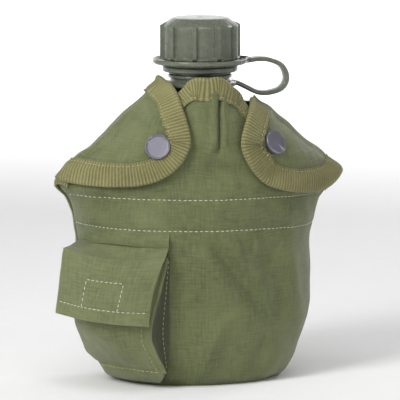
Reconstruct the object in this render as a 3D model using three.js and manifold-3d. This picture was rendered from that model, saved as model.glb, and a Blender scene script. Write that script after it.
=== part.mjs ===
// A one-quart military canteen: a blow-moulded kidney-shaped bottle with a screw cap on a retaining strap.
// It is carried in a lined fabric cover with snapped shoulder flaps, a tablet pocket and belt keepers.
// Millimetres, +Z up, front of the cover towards -Y, origin on the resting face below the neck's axis.
import * as THREE from "three";
import { mergeVertices } from "three/addons/utils/BufferGeometryUtils.js";
import Module from "manifold-3d";

const wasm = await Module();
wasm.setup();

// ---- Driving dimensions ----------------------------------------------------------------------------
const TOP_Z = 213; // crown of the cap
const GAP = 0.3; // air between two pieces that touch on the real object
const CLOTH = 1.2; // nylon duck, with its coating
const TAPE = 0.9; // one leaf of the folded binding tape
const TAPE_WIDTH = 12.5; // visible width of the folded tape
const PILE = 1.5; // fleece lining
const BOTTLE_BASE = 4; // cover cloth and lining below the bottle
const WALL = 1.8; // blown wall of the bottle
const NECK_R = 17.5;
const BORE_R = 14.5;
const NECK_Z = 172; // where the shoulder becomes the neck
const RIM_Z = 207.9;
const PITCH = 5; // thread pitch of cap and neck
const THREAD_TURNS = 1.25;
const DRAIN_Y = 12; // drain eyelet in the bottom panel
const FLAP_TUCK = 4.4; // how far the front panel lies below the flaps
const WING_Z = 118; // height of the side corners, where flap, front and back meet
const SNAP = { x: 35.3, z: 141.4, hole: 2.3, post: 1.9 };
const KEEPER = { x: 27, width: 26, low: 70, high: 142, plateY: 36.4, steel: 1.4, channel: 7.6 };

const DEG = Math.PI / 180;
const lerp = THREE.MathUtils.lerp;
const smooth = THREE.MathUtils.smoothstep;

// A smooth curve through knots [position, value] that never overshoots them, held level past both ends.
function curve(knots) {
  const n = knots.length - 1;
  const rise = knots.slice(1).map(([x, y], i) => (y - knots[i][1]) / (x - knots[i][0]));
  const slope = knots.map((_, i) => {
    if (i === 0 || i === n || rise[i - 1] * rise[i] <= 0) return 0;
    return 2 / (1 / rise[i - 1] + 1 / rise[i]);
  });
  return (x) => {
    if (x <= knots[0][0]) return knots[0][1];
    if (x >= knots[n][0]) return knots[n][1];
    const i = knots.findIndex((_, k) => x < knots[k + 1][0]);
    const h = knots[i + 1][0] - knots[i][0];
    const t = (x - knots[i][0]) / h;
    const start = knots[i][1] * (1 + 2 * t) * (1 - t) ** 2 + h * slope[i] * t * (1 - t) ** 2;
    const end = knots[i + 1][1] * t * t * (3 - 2 * t) + h * slope[i + 1] * t * t * (t - 1);
    return start + end;
  };
}

// ---- The two forms: a kidney section that changes with height --------------------------------------
// halfWidth, front and back are distances from the neck's axis, middle is where the section is widest,
// power squares the section off, and hollow dishes its back to sit against the hip.
const bottle = {
  halfWidth: curve([[4, 43], [6, 47.5], [12, 53], [20, 57.5], [30, 61], [45, 63.6], [108, 64.5], [120, 62],
    [130, 58], [142, 50], [156, 35], [163, 26.5], [168, 21], [NECK_Z, NECK_R]]),
  front: curve([[4, 25], [6, 28.5], [12, 33], [25, 36.5], [45, 37.8], [100, 37.8], [118, 34.8], [130, 33.6],
    [141, 31.8], [150, 29], [158, 25.4], [165, 21.4], [NECK_Z, NECK_R]]),
  back: curve([[4, 23], [12, 29], [25, 32], [45, 34.2], [90, 34.2], [108, 32], [125, 29], [137, 26],
    [147, 23.4], [156, 21], [165, 19], [NECK_Z, NECK_R]]),
  middle: curve([[4, 10], [20, 15], [45, 17], [85, 17], [112, 8], [130, 2], [NECK_Z, 0]]),
  power: curve([[4, 2.3], [110, 2.3], [160, 2]]),
  hollow: curve([[4, 3], [25, 7], [105, 7], [140, 3.5], [165, 0]]),
};
const cover = {
  halfWidth: curve([[0, 50], [3, 54], [9, 58], [13, 60], [20, 62.7], [28, 65.6], [36, 68], [45, 69.4],
    [82, 69.6], [90, 71], [98, 73.5], [109, 79], [WING_Z, 87], [126, 80], [133, 70], [142, 61.5], [147, 56.2],
    [156, 45], [163, 37.5], [170, 30.5], [177, 24.5]]),
  front: curve([[0, 34], [6, 38], [13, 40.5], [25, 42.3], [45, 43], [118, 43.6], [130, 44], [141, 43],
    [150, 40.6], [158, 37.6], [165, 35.4], [177, 34]]),
  back: curve([[0, 30], [6, 33.5], [13, 36], [25, 38.3], [45, 40], [108, 40], [125, 37], [140, 33.5],
    [150, 30.8], [160, 28], [177, 25]]),
  middle: curve([[0, 10], [20, 16], [45, 18.5], [85, 18.5], [98, 13], [109, 7], [WING_Z, 3], [135, 0]]),
  power: curve([[0, 2.3], [85, 2.3], [WING_Z, 1.55], [140, 2]]),
  hollow: curve([[0, 3], [25, 7], [105, 7], [140, 3.5], [165, 0]]),
};

function sectionPoint(form, theta, z) {
  const a = form.halfWidth(z);
  const middle = form.middle(z);
  const n = form.power(z);
  const c = Math.cos(theta);
  const s = Math.sin(theta);
  const depth = s < 0 ? middle + form.front(z) : form.back(z) - middle;
  const r = ((Math.abs(c) / a) ** n + (Math.abs(s) / depth) ** n) ** (-1 / n);
  const dish = s > 0 ? form.hollow(z) * (1 - Math.min(1, (r * c / a) ** 2)) ** 2 : 0;
  return new THREE.Vector3(r * c, middle + r * s - dish, z);
}

// The point on a form at an angle (degrees, 0 = right side, 270 = front) and height, pushed out by gap.
function skin(form, degrees, z, gap = 0) {
  const theta = degrees * DEG;
  const step = 0.004;
  const around = sectionPoint(form, theta + step, z).sub(sectionPoint(form, theta - step, z));
  const up = sectionPoint(form, theta, z + 0.3).sub(sectionPoint(form, theta, z - 0.3));
  const normal = around.cross(up).normalize();
  return sectionPoint(form, theta, z).addScaledVector(normal, gap);
}

// The angle at which the cover's section passes a given x on its front side.
function angleAtX(x, z) {
  let low = 180;
  let high = 360;
  for (let i = 0; i < 40; i += 1) {
    const mid = (low + high) / 2;
    if (sectionPoint(cover, mid * DEG, z).x < x) low = mid;
    else high = mid;
  }
  return low;
}

// The y of the cover's back at a given x and height.
function backY(x, z) {
  const a = cover.halfWidth(z);
  const n = cover.power(z);
  const depth = cover.back(z) - cover.middle(z);
  const dish = cover.hollow(z) * (1 - (x / a) ** 2) ** 2;
  return cover.middle(z) + depth * (1 - Math.abs(x / a) ** n) ** (1 / n) - dish;
}

// ---- Mesh builders -------------------------------------------------------------------------------------
const steps = (from, to, count) => Array.from({ length: count + 1 }, (_, i) => lerp(from, to, i / count));

// A geometry from points and faces, turned to face out.
function closedGeometry(points, faces) {
  let volume = 0;
  for (const [a, b, c] of faces) {
    volume += points[a].dot(new THREE.Vector3().crossVectors(points[b], points[c]));
  }
  const index = volume < 0 ? faces.map(([a, b, c]) => [a, c, b]) : faces;
  return new THREE.BufferGeometry().setFromPoints(points).setIndex(index.flat());
}

function quad(faces, a, b, c, d) {
  faces.push([a, b, c], [a, c, d]);
}

// A sheet of cloth: outer(i, j) and inner(i, j) give its two sides over a grid of columns and rows.
function sheet(columns, rows, outer, inner) {
  const points = [];
  const faces = [];
  const at = (side, i, j) => (side * columns + i) * rows + j;
  for (const side of [outer, inner]) {
    for (let i = 0; i < columns; i += 1) for (let j = 0; j < rows; j += 1) points.push(side(i, j));
  }
  for (let i = 0; i < columns - 1; i += 1) {
    for (let j = 0; j < rows - 1; j += 1) {
      quad(faces, at(0, i, j), at(0, i + 1, j), at(0, i + 1, j + 1), at(0, i, j + 1));
      quad(faces, at(1, i, j), at(1, i, j + 1), at(1, i + 1, j + 1), at(1, i + 1, j));
    }
    quad(faces, at(0, i, 0), at(1, i, 0), at(1, i + 1, 0), at(0, i + 1, 0));
    quad(faces, at(0, i, rows - 1), at(0, i + 1, rows - 1), at(1, i + 1, rows - 1), at(1, i, rows - 1));
  }
  const last = columns - 1;
  for (let j = 0; j < rows - 1; j += 1) {
    quad(faces, at(0, 0, j), at(0, 0, j + 1), at(1, 0, j + 1), at(1, 0, j));
    quad(faces, at(0, last, j), at(1, last, j), at(1, last, j + 1), at(0, last, j + 1));
  }
  return closedGeometry(points, faces);
}

// A sheet laid on the cover's form: across and up are lists of fractions, which angle and height turn into
// degrees and millimetres, and the two gaps are functions of the height.
function formSheet(across, up, angle, height, outerGap, innerGap) {
  const place = (gap) => (i, j) => {
    const z = height(across[i], up[j]);
    return skin(cover, angle(across[i], z), z, gap(z));
  };
  return sheet(across.length, up.length, place(outerGap), place(innerGap));
}

// Closed loops of points joined end to end, with fan caps: for convex or star-shaped sections.
function stack(loops) {
  const count = loops[0].length;
  const points = loops.flat();
  const faces = [];
  loops.slice(1).forEach((_, k) => {
    for (let i = 0; i < count; i += 1) {
      const next = (i + 1) % count;
      quad(faces, k * count + i, k * count + next, (k + 1) * count + next, (k + 1) * count + i);
    }
  });
  const cap = (first, flip) => {
    const centre = points.length;
    const sum = new THREE.Vector3();
    for (let i = 0; i < count; i += 1) sum.add(points[first + i]);
    points.push(sum.divideScalar(count));
    for (let i = 0; i < count; i += 1) {
      const next = (i + 1) % count;
      faces.push(flip ? [centre, first + next, first + i] : [centre, first + i, first + next]);
    }
  };
  cap(0, true);
  cap((loops.length - 1) * count, false);
  return closedGeometry(points, faces);
}

function lathe(profile, segments = 32) {
  const outline = profile.map(([r, h]) => new THREE.Vector2(r, h));
  if (profile[0][0] > 0) outline.push(outline[0].clone());
  return new THREE.LatheGeometry(outline, segments).rotateX(Math.PI / 2);
}

const boxAt = (low, high) => new THREE.BoxGeometry(high[0] - low[0], high[1] - low[1], high[2] - low[2])
  .translate((low[0] + high[0]) / 2, (low[1] + high[1]) / 2, (low[2] + high[2]) / 2);

// ---- Joins and cuts ------------------------------------------------------------------------------------
function solid(geometry) {
  const bare = geometry.index ? geometry.toNonIndexed() : geometry.clone();
  bare.deleteAttribute("normal");
  bare.deleteAttribute("uv");
  const merged = mergeVertices(bare, 1e-4);
  const vertProperties = merged.attributes.position.array;
  const triVerts = new Uint32Array(merged.index.array);
  const made = new wasm.Manifold(new wasm.Mesh({ numProp: 3, vertProperties, triVerts }));
  if (made.volume() > 0) return made;
  for (let i = 0; i < triVerts.length; i += 3) {
    [triVerts[i], triVerts[i + 1]] = [triVerts[i + 1], triVerts[i]];
  }
  return new wasm.Manifold(new wasm.Mesh({ numProp: 3, vertProperties, triVerts }));
}

// The biggest body of a solid, as a geometry: crumbs and slivers that a cut leaves behind are dropped.
function geometryOf(manifold) {
  const bodies = manifold.simplify(0.004).decompose().sort((a, b) => b.volume() - a.volume());
  const mesh = bodies[0].getMesh();
  const geometry = new THREE.BufferGeometry();
  geometry.setAttribute("position", new THREE.BufferAttribute(new Float32Array(mesh.vertProperties), 3));
  return geometry.setIndex(new THREE.BufferAttribute(new Uint32Array(mesh.triVerts), 1));
}

// A front-view outline (x, z) as a prism that runs through the whole depth.
function frontPrism(points) {
  const shape = new THREE.Shape(points);
  const prism = new THREE.ExtrudeGeometry(shape, { depth: 200, bevelEnabled: false, curveSegments: 8 });
  return solid(prism.rotateX(Math.PI / 2).translate(0, 100, 0));
}

// A closed outline moved inwards by a distance, without the points that would fold over each other.
function inset(points, distance) {
  const side = Math.sign(THREE.ShapeUtils.area(points));
  const neighbour = (i, by) => points[(i + by + points.length) % points.length];
  const moved = points.map((p, i) => {
    const a = p.clone().sub(neighbour(i, -1)).normalize();
    const b = neighbour(i, 1).clone().sub(p).normalize();
    const normal = new THREE.Vector2(-(a.y + b.y), a.x + b.x).multiplyScalar(side).normalize();
    const stretch = 1 / Math.max(0.5, normal.dot(new THREE.Vector2(-a.y, a.x).multiplyScalar(side)));
    return p.clone().addScaledVector(normal, distance * stretch);
  });
  const clear = (p) => points.every((start, i) => {
    const along = neighbour(i, 1).clone().sub(start);
    const t = THREE.MathUtils.clamp(p.clone().sub(start).dot(along) / along.lengthSq(), 0, 1);
    return p.distanceTo(start.clone().addScaledVector(along, t)) > distance - 0.05;
  });
  return moved.filter(clear);
}

// ---- Materials -----------------------------------------------------------------------------------------
const material = (colour, roughness, metalness = 0) =>
  new THREE.MeshStandardMaterial({ color: colour, roughness, metalness });
const cloth = material(0x5f6b3f, 0.9);
const tape = material(0x837c4c, 0.9);
const fleece = material(0x8f8d6c, 1.0);
const polyethylene = material(0x5d6455, 0.45);
const rubber = material(0x1c1c1a, 0.8);
const snapBlack = material(0x4b4a5c, 0.4, 0.6);
const steel = material(0x2b2d28, 0.5, 0.7);
const brass = material(0x3a3a30, 0.45, 0.7);
const hookAndLoop = material(0x59603f, 1.0);

const part = new THREE.Group();

function add(name, geometry, look) {
  const mesh = new THREE.Mesh(geometry, look);
  mesh.name = name;
  part.add(mesh);
  return mesh;
}

// ---- Bottle, cap and strap -----------------------------------------------------------------------------
const RING_SIDES = 28;

function formLoop(form, z, wall = 0) {
  return steps(0, 360, RING_SIDES).slice(0, -1).map((degrees) => {
    const p = sectionPoint(form, degrees * DEG, z);
    const middle = form.middle(z);
    const out = new THREE.Vector2(p.x, p.y - middle);
    out.setLength(out.length() - wall);
    return new THREE.Vector3(out.x, out.y + middle, z);
  });
}

// A helical ridge: profile points are (radius, height), lead-in ends sink back to rootRadius.
function threadRidge(profile, startZ, turns, rootRadius, startDegrees = 0) {
  const count = Math.round(turns * 14);
  const loops = steps(0, 1, count).map((t) => {
    const angle = startDegrees * DEG + t * turns * 2 * Math.PI;
    const swell = Math.min(1, Math.min(t, 1 - t) * count / 3);
    return profile.map(([r, h]) => {
      const radius = lerp(rootRadius, r, swell);
      const z = startZ + PITCH * t * turns + h * lerp(0.5, 1, swell);
      return new THREE.Vector3(radius * Math.cos(angle), radius * Math.sin(angle), z);
    });
  });
  return stack(loops);
}

function makeBottle() {
  const levels = [BOTTLE_BASE, 6, 12, 22, 36, 90, 112, 124, 133, 142, 150, 158, 165, NECK_Z];
  const outer = stack([...levels.map((z) => formLoop(bottle, z)), formLoop(bottle, RIM_Z)]);
  const inside = levels.slice(1, -1).map((z) =>
    formLoop(bottle, z, lerp(WALL, NECK_R - BORE_R, smooth(z, 155, NECK_Z))));
  const bore = [NECK_Z + 1, RIM_Z + 5].map((z) => formLoop(bottle, z, NECK_R - BORE_R));
  const ridge = [[NECK_R - 0.4, -1.3], [19.05, -0.6], [19.05, 0.6], [NECK_R - 0.4, 1.3]];
  const thread = threadRidge(ridge, 194, THREAD_TURNS, NECK_R - 0.4);
  const collar = lathe([[BORE_R + 1, 177.6], [18.9, 178], [18.9, 179.4], [BORE_R + 1, 179.9]], RING_SIDES);
  const hollow = solid(stack([...inside, ...bore]));
  const body = solid(outer).add(solid(thread)).add(solid(collar)).subtract(hollow);
  add("bottle_shell", geometryOf(body), polyethylene);
}

// The groove holds the strap's upper ring, and ribTurn is the angle of the first rib's edge.
const CAP = {
  skirtZ: 181, grooveZ: 184.6, ribZ: 188.4, ribTopZ: 209.6, coreR: 22.3, ribR: 23.7, grooveR: 20.3,
  cavityR: 19.6, cavityZ: 210.4, ribs: 10, ribTurn: 27.5,
};

// One turn of the cap's outline: at each pitch a raised rib with steep sides, then a slightly crowned panel.
function ribbedOutline() {
  const pitch = [[0, CAP.ribR], [6, CAP.ribR], [8, CAP.coreR], [20, CAP.coreR + 0.35], [33.5, CAP.coreR]];
  const points = [];
  for (let k = 0; k < CAP.ribs; k += 1) {
    const start = CAP.ribTurn + (k * 360) / CAP.ribs;
    for (const [degrees, r] of pitch) {
      const angle = (start + degrees) * DEG;
      points.push(new THREE.Vector2(r * Math.cos(angle), r * Math.sin(angle)));
    }
  }
  return points;
}

function makeCap() {
  const core = lathe([[0, CAP.skirtZ], [21.6, CAP.skirtZ], [22.1, CAP.skirtZ + 0.7],
    [22.1, CAP.grooveZ - 0.6], [CAP.grooveR, CAP.grooveZ], [CAP.grooveR, CAP.ribZ], [CAP.coreR, CAP.ribZ],
    [CAP.coreR, 209.5], [22, 210.8], [20.9, 212], [19.4, 212.4], [12, 212.9], [0, TOP_Z]], 40);
  const ribs = new THREE.ExtrudeGeometry(new THREE.Shape(ribbedOutline()),
    { depth: CAP.ribTopZ - CAP.ribZ, bevelEnabled: false }).translate(0, 0, CAP.ribZ);
  const cavity = lathe([[0, CAP.skirtZ - 5], [CAP.cavityR, CAP.skirtZ - 5], [CAP.cavityR, CAP.cavityZ],
    [0, CAP.cavityZ]], 40);
  const ridge = [[20, -1.3], [18.0, -0.6], [18.0, 0.6], [20, 1.3]];
  const thread = threadRidge(ridge, 194 - PITCH / 2, THREAD_TURNS - 0.25, 20);
  const cap = solid(core).add(solid(ribs)).subtract(solid(cavity)).add(solid(thread));
  add("cap", geometryOf(cap), polyethylene);
  const sealR = CAP.cavityR - 0.7;
  const sealTop = CAP.cavityZ - GAP;
  const seal = [[0, RIM_Z + GAP], [sealR, RIM_Z + GAP], [sealR, sealTop], [0, sealTop]];
  add("cap_gasket", lathe(seal, 32), rubber);
}

const STRAP = { width: 8.4, thick: 2, neckZ: 173.9 };

// The centre line of the strap's free loop, from the cap ring's tab round to the neck ring.
const strapPath = new THREE.CatmullRomCurve3([[29.3, 187], [35, 187.6], [42, 187], [48.6, 183], [51.6, 176],
  [48.8, 169], [42.5, 165.4], [35, 165.9], [28.5, 169.6], [23.2, 173], [19.9, STRAP.neckZ]]
  .map(([x, z]) => new THREE.Vector3(x, 0, z)));

function makeStrap() {
  const loops = steps(0, 1, 26).map((t) => {
    const p = strapPath.getPointAt(t);
    const along = strapPath.getTangentAt(t);
    const across = new THREE.Vector3(0, 1, 0);
    const up = along.clone().cross(across);
    const corner = (a, b) => p.clone().addScaledVector(across, (a * STRAP.width) / 2)
      .addScaledVector(up, (b * STRAP.thick) / 2);
    return [corner(-1, -1), corner(1, -1), corner(1, 1), corner(-1, 1)];
  });
  const ring = lathe([[NECK_R + 0.5, 172.8], [21.4, 172.8], [21.4, 175], [NECK_R + 0.5, 175]], RING_SIDES);
  const hole = lathe([[0, 170], [NECK_R + 0.5, 170], [NECK_R + 0.5, 178], [0, 178]], RING_SIDES);
  const strap = solid(stack(loops)).add(solid(ring)).subtract(solid(hole));
  add("retaining_strap", geometryOf(strap), polyethylene);

  const capRing = lathe([[20.9, 185], [26, 185], [26.5, 188.6], [25.3, 188.6], [24.9, 186.9],
    [20.9, 186.9]], 40);
  const tab = boxAt([25, -STRAP.width / 2, 185.6], [28.9, STRAP.width / 2, 188]);
  add("strap_cap_ring", geometryOf(solid(capRing).add(solid(tab))), polyethylene);
}

// ---- Cover body ----------------------------------------------------------------------------------------
const tuck = (z) => smooth(z, 110, 128);
const panelOuter = (z) => -FLAP_TUCK * tuck(z);
const flapInner = (z) => 2.6 - 3.8 * tuck(z);

// Upper edge of the front panel by angle: side corners, a slope below the flaps, a collar round the neck.
const frontTop = curve([[180, 117], [190, 129], [200, 142], [210, 153], [220, 164], [230, 171], [245, 175.5],
  [270, 177.3], [295, 175.5], [310, 171], [320, 162], [330, 151], [340, 140], [350, 128], [360, 117]]);
// Upper edge of the back panel by angle: low on the right, where the strap passes over it.
const backTop = curve([[-20, 161], [40, 161], [90, 166], [140, 173], [200, 174.5]]);

const NECK_FOLD = { x: 26, y: -9, z: 171.5 };
const WING_FOLD = { x: 84, y: -1, z: 120 };

// How far the back panel reaches past the side, in degrees, so that its edge lies on the flap's fold.
function overhang(z) {
  const t = (NECK_FOLD.z - z) / (NECK_FOLD.z - WING_FOLD.z);
  const foldY = lerp(NECK_FOLD.y, WING_FOLD.y, Math.min(1, t)) + 1;
  let low = 0;
  let high = 60;
  for (let i = 0; i < 30; i += 1) {
    const mid = (low + high) / 2;
    if (sectionPoint(cover, (180 + mid) * DEG, z).y > foldY) low = mid;
    else high = mid;
  }
  return low * smooth(z, WING_Z + 1, WING_Z + 5);
}

const snapFrames = [-1, 1].map((side) => {
  const degrees = angleAtX(side * SNAP.x, SNAP.z);
  const point = skin(cover, degrees, SNAP.z);
  const normal = skin(cover, degrees, SNAP.z, 1).sub(point);
  return { point, turn: new THREE.Quaternion().setFromUnitVectors(new THREE.Vector3(0, 0, 1), normal) };
});

// A plain cylinder along a snap's axis, for the holes that its posts pass through.
function snapBore(frame, radius, low, high) {
  const bore = lathe([[0, low], [radius, low], [radius, high], [0, high]], 16);
  bore.applyQuaternion(frame.turn).translate(frame.point.x, frame.point.y, frame.point.z);
  return solid(bore);
}

// Front and back cloth share their rows and columns with the lining inside them, so they nest.
// On the front, 1 is the lower edge of the collar's tape and 2 is the collar's top.
const FRONT_GRID = {
  across: steps(0, 1, 20),
  up: [...steps(0, 1, 9).map((v) => v ** 0.85), 2],
  angle: (u) => lerp(181, 359, u),
  height(u, v) {
    const tapeLow = frontTop(this.angle(u)) - TAPE_WIDTH;
    return v <= 1 ? tapeLow * v : tapeLow + TAPE_WIDTH * (v - 1);
  },
};
const BACK_GRID = {
  across: steps(0, 1, 20),
  up: steps(0, 1, 10).map((v) => v ** 0.9),
  angle: (u, z) => lerp(1 - overhang(z), 179 + overhang(z), u),
  height: (u, v) => lerp(0, backTop(lerp(-10, 190, u)), v),
};

// The sheet on a grid, less some columns at each side and some rows at the bottom and the top.
function gridSheet(grid, [sides, bottom, top], outerGap, innerGap) {
  const across = grid.across.slice(sides, grid.across.length - sides);
  const up = grid.up.slice(bottom, grid.up.length - top);
  return formSheet(across, up, grid.angle, (u, v) => grid.height(u, v), outerGap, innerGap);
}

// The front panel with air all round, which its tapes are cut back to.
const frontClearance = () => solid(gridSheet(FRONT_GRID, [0, 0, 0], (z) => panelOuter(z) + GAP,
  (z) => panelOuter(z) - CLOTH - GAP));

function makePanels() {
  let front = solid(gridSheet(FRONT_GRID, [0, 0, 0], panelOuter, (z) => panelOuter(z) - CLOTH));
  for (const frame of snapFrames) front = front.subtract(snapBore(frame, SNAP.hole, -12, 6));
  add("front_panel", geometryOf(front), cloth);
  add("back_panel", gridSheet(BACK_GRID, [0, 0, 0], () => 0, () => -CLOTH), cloth);

  const liningGap = CLOTH + GAP;
  let frontLining = solid(gridSheet(FRONT_GRID, [2, 1, 2], (z) => panelOuter(z) - liningGap,
    (z) => panelOuter(z) - liningGap - PILE));
  for (const frame of snapFrames) frontLining = frontLining.subtract(snapBore(frame, 6.4, -12, 6));
  add("front_lining", geometryOf(frontLining), fleece);
  add("back_lining", gridSheet(BACK_GRID, [1, 1, 1], () => -liningGap, () => -liningGap - PILE), fleece);
}

function makeBottom() {
  const floorLoop = (z, wall) => formLoop(cover, 0.6, wall).map((p) => p.setZ(z));
  const drain = lathe([[0, -2], [7.4, -2], [7.4, 0.7], [4.7, 0.7], [4.7, 6], [0, 6]], 20)
    .translate(0, DRAIN_Y, 0);
  const floor = solid(stack([floorLoop(0, 2.4), floorLoop(CLOTH, 2.4)])).subtract(solid(drain));
  add("bottom_panel", geometryOf(floor), cloth);
  const pad = solid(stack([floorLoop(CLOTH + GAP, 6.5), floorLoop(BOTTLE_BASE - GAP, 6.5)]))
    .subtract(solid(drain));
  add("bottom_lining", geometryOf(pad), fleece);
  add("drain_eyelet", lathe([[3.1, 0.05], [7, 0.05], [7, 0.55], [4.3, 0.55], [4.3, 3.1], [3.1, 3.1]], 20)
    .translate(0, DRAIN_Y, 0), brass);
}

// The folded tape along the front panel's upper edge, with a leaf on each side of the cloth.
function makeCollarTape() {
  const columns = FRONT_GRID.across.map(FRONT_GRID.angle).filter((degrees) => degrees > 205 && degrees < 333);
  const loops = columns.map((degrees) => {
    const top = frontTop(degrees);
    const leaf = (gap, drop) => skin(cover, degrees, top - drop, panelOuter(top - drop) + gap);
    const rise = -GAP - TAPE;
    const inside = -CLOTH - 3 * GAP; // the inner leaf hangs a little further off
    const out = GAP + TAPE;
    return [leaf(out + GAP / 2, TAPE_WIDTH), leaf(out, rise), leaf(-CLOTH - out, rise),
      leaf(inside - TAPE, TAPE_WIDTH), leaf(inside, TAPE_WIDTH), leaf(-CLOTH - GAP, -GAP),
      leaf(GAP, -GAP), leaf(GAP * 1.5, TAPE_WIDTH)];
  });
  const faces = [];
  loops.slice(1).forEach((_, k) => {
    for (let i = 0; i < 8; i += 1) {
      quad(faces, k * 8 + i, k * 8 + (i + 1) % 8, (k + 1) * 8 + (i + 1) % 8, (k + 1) * 8 + i);
    }
  });
  const end = (first, flip) => {
    for (const [a, b, c, d] of [[0, 1, 6, 7], [1, 2, 5, 6], [2, 3, 4, 5]]) {
      const ring = [a, b, c, d].map((i) => first + i);
      if (flip) ring.reverse();
      quad(faces, ...ring);
    }
  };
  end(0, true);
  end((loops.length - 1) * 8, false);
  let band = solid(closedGeometry(loops.flat(), faces)).subtract(frontClearance());
  for (const frame of snapFrames) band = band.subtract(snapBore(frame, 8.4, -12, 6));
  add("collar_tape", geometryOf(band), tape);
}

// ---- Shoulder flaps ------------------------------------------------------------------------------------
const FLAPS = {
  left: {
    side: -1, low: 119, top: 174.5,
    nose: { x: 16, z: 146 }, bend: { x: 16, z: 160 }, apex: { x: 23, z: 180 },
  },
  right: {
    side: 1, low: 114.5, top: 162,
    nose: { x: 14.5, z: 143 }, bend: { x: 16, z: 158 }, apex: { x: 34, z: 168 },
  },
};

// Front-view outline of a flap: level lower edge, round nose beyond the snap, inner edge up to the neck.
function flapOutline({ side, low, nose, apex, bend }) {
  const far = 100;
  const shape = new THREE.Shape();
  shape.moveTo(side * far, low);
  shape.lineTo(side * 47, low);
  shape.bezierCurveTo(side * 30, low, side * nose.x, low + 12, side * nose.x, nose.z);
  shape.quadraticCurveTo(side * bend.x, bend.z, side * apex.x, apex.z);
  shape.lineTo(side * far, apex.z + 4);
  return shape.getPoints(6);
}

function makeFlap(name, flap, frame) {
  const { side, low, top } = flap;
  // A layer of the flap, grown by air on both faces. Its fold and top edges can stop or reach a little off.
  const shell = (air, fold = 0, reach = 0) => {
    const across = [fold, ...steps(0, 1, 8).slice(1)];
    const up = [...steps(0, 1, 7).slice(0, -1), 1 + reach];
    const start = (z) => overhang(Math.max(z, low)) + 3.2;
    const angle = (u, z) => (side < 0 ? lerp(180 + start(z), 268, u) : lerp(360 - start(z), 272, u));
    return solid(formSheet(across, up, angle, (u, v) => lerp(low - 3, top, v),
      (z) => flapInner(z) + CLOTH + air, (z) => flapInner(z) - air));
  };
  const outline = flapOutline(flap);
  const hole = snapBore(frame, SNAP.hole, -6, 6);
  const panel = shell(0).intersect(frontPrism(inset(outline, TAPE + GAP))).subtract(hole);
  const spared = shell(GAP, 0, 0.02).intersect(frontPrism(inset(outline, TAPE)));
  const edge = frontPrism(outline).subtract(frontPrism(inset(outline, TAPE_WIDTH)));
  const aroundSnap = snapBore(frame, 8.3, -8, 8);
  const fold = shell(GAP + TAPE, 0.03).intersect(edge).subtract(spared).subtract(aroundSnap)
    .subtract(frontClearance());
  add(`${name}_flap`, geometryOf(panel), cloth);
  add(`${name}_flap_tape`, geometryOf(fold), tape);
}

// ---- Snap fasteners: a cap and socket on each flap, a stud and eyelet on the front panel ----------------
function makeSnap(name, frame) {
  const outer = flapInner(SNAP.z) + CLOTH;
  const inner = flapInner(SNAP.z);
  const panel = panelOuter(SNAP.z);
  const place = (mesh) => {
    mesh.position.copy(frame.point);
    mesh.quaternion.copy(frame.turn);
  };
  const profiles = {
    snap_cap: [[0, inner - 0.4], [SNAP.post, inner - 0.4], [SNAP.post, outer + GAP], [7.3, outer + GAP],
      [7.5, outer + 0.6], [6.5, outer + 1.5], [4, outer + 2.05], [0, outer + 2.2]],
    snap_socket: [[SNAP.hole, inner - 1], [SNAP.hole, inner - 2], [4.6, inner - 2], [5.4, inner - 1.6],
      [5.4, inner - 1]],
    snap_stud: [[0, panel + GAP], [5.5, panel + GAP], [5.5, panel + 0.8], [SNAP.post, panel + 0.8],
      [SNAP.post, inner - 0.8], [0, inner - 0.8]],
    snap_eyelet: [[0, panel - CLOTH - 2.2], [5.3, panel - CLOTH - 2.2], [5.3, panel - CLOTH - 1.7],
      [SNAP.post, panel - CLOTH - 1.7], [SNAP.post, panel], [0, panel]],
  };
  for (const [piece, profile] of Object.entries(profiles)) {
    place(add(`${name}_${piece}`, lathe(profile, 20), snapBlack));
  }
}

// ---- Tablet pocket -------------------------------------------------------------------------------------
// The bag's free front edge lines by height, its left one near the side seam and its right one on the front.
const bag = {
  leftX: curve([[9, -60], [18, -67.5], [25, -70.5], [38, -77], [60, -81], [80, -81.5]]),
  leftY: curve([[9, -7], [18, -3.5], [25, -4.5], [38, -7.5], [60, -8.5], [80, -8]]),
  rightX: curve([[9, -34], [22, -40], [33, -44], [60, -38], [80, -33]]),
  rightY: curve([[9, -42.5], [22, -46], [33, -47.5], [60, -46], [80, -43.5]]),
  bulge: curve([[9, 3], [25, 8], [45, 10], [60, 7], [80, 2.5]]),
  low: 9.5,
  high: 78,
};
const POCKET = {
  left: 187, rightX: -30, flapTop: { z: 80, leftX: -85.5, leftY: -12, rightX: -35, rightY: -48 },
};

// The bag's centre line at a height, from the side seam round its front and back to the panel.
function bagLine(z) {
  const left = new THREE.Vector2(bag.leftX(z), bag.leftY(z));
  const right = new THREE.Vector2(bag.rightX(z), bag.rightY(z));
  const chord = right.clone().sub(left);
  const out = new THREE.Vector2(chord.y, -chord.x).normalize();
  const front = steps(0, 1, 8).map((s) =>
    left.clone().addScaledVector(chord, s).addScaledVector(out, bag.bulge(z) * 4 * s * (1 - s)));
  const flat = (p) => new THREE.Vector2(p.x, p.y);
  const start = flat(skin(cover, POCKET.left, z, 1.2));
  const end = flat(skin(cover, angleAtX(POCKET.rightX, z), z, 1.2));
  return [start, start.clone().lerp(left, 0.5), ...front, right.clone().lerp(end, 0.5), end];
}

// The line at a height moved sideways, out of the pocket.
function shiftedLine(line, distance) {
  return line.map((p, i) => {
    const a = line[Math.max(0, i - 1)];
    const b = line[Math.min(line.length - 1, i + 1)];
    const along = b.clone().sub(a).normalize();
    return p.clone().add(new THREE.Vector2(along.y, -along.x).multiplyScalar(distance));
  });
}

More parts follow.
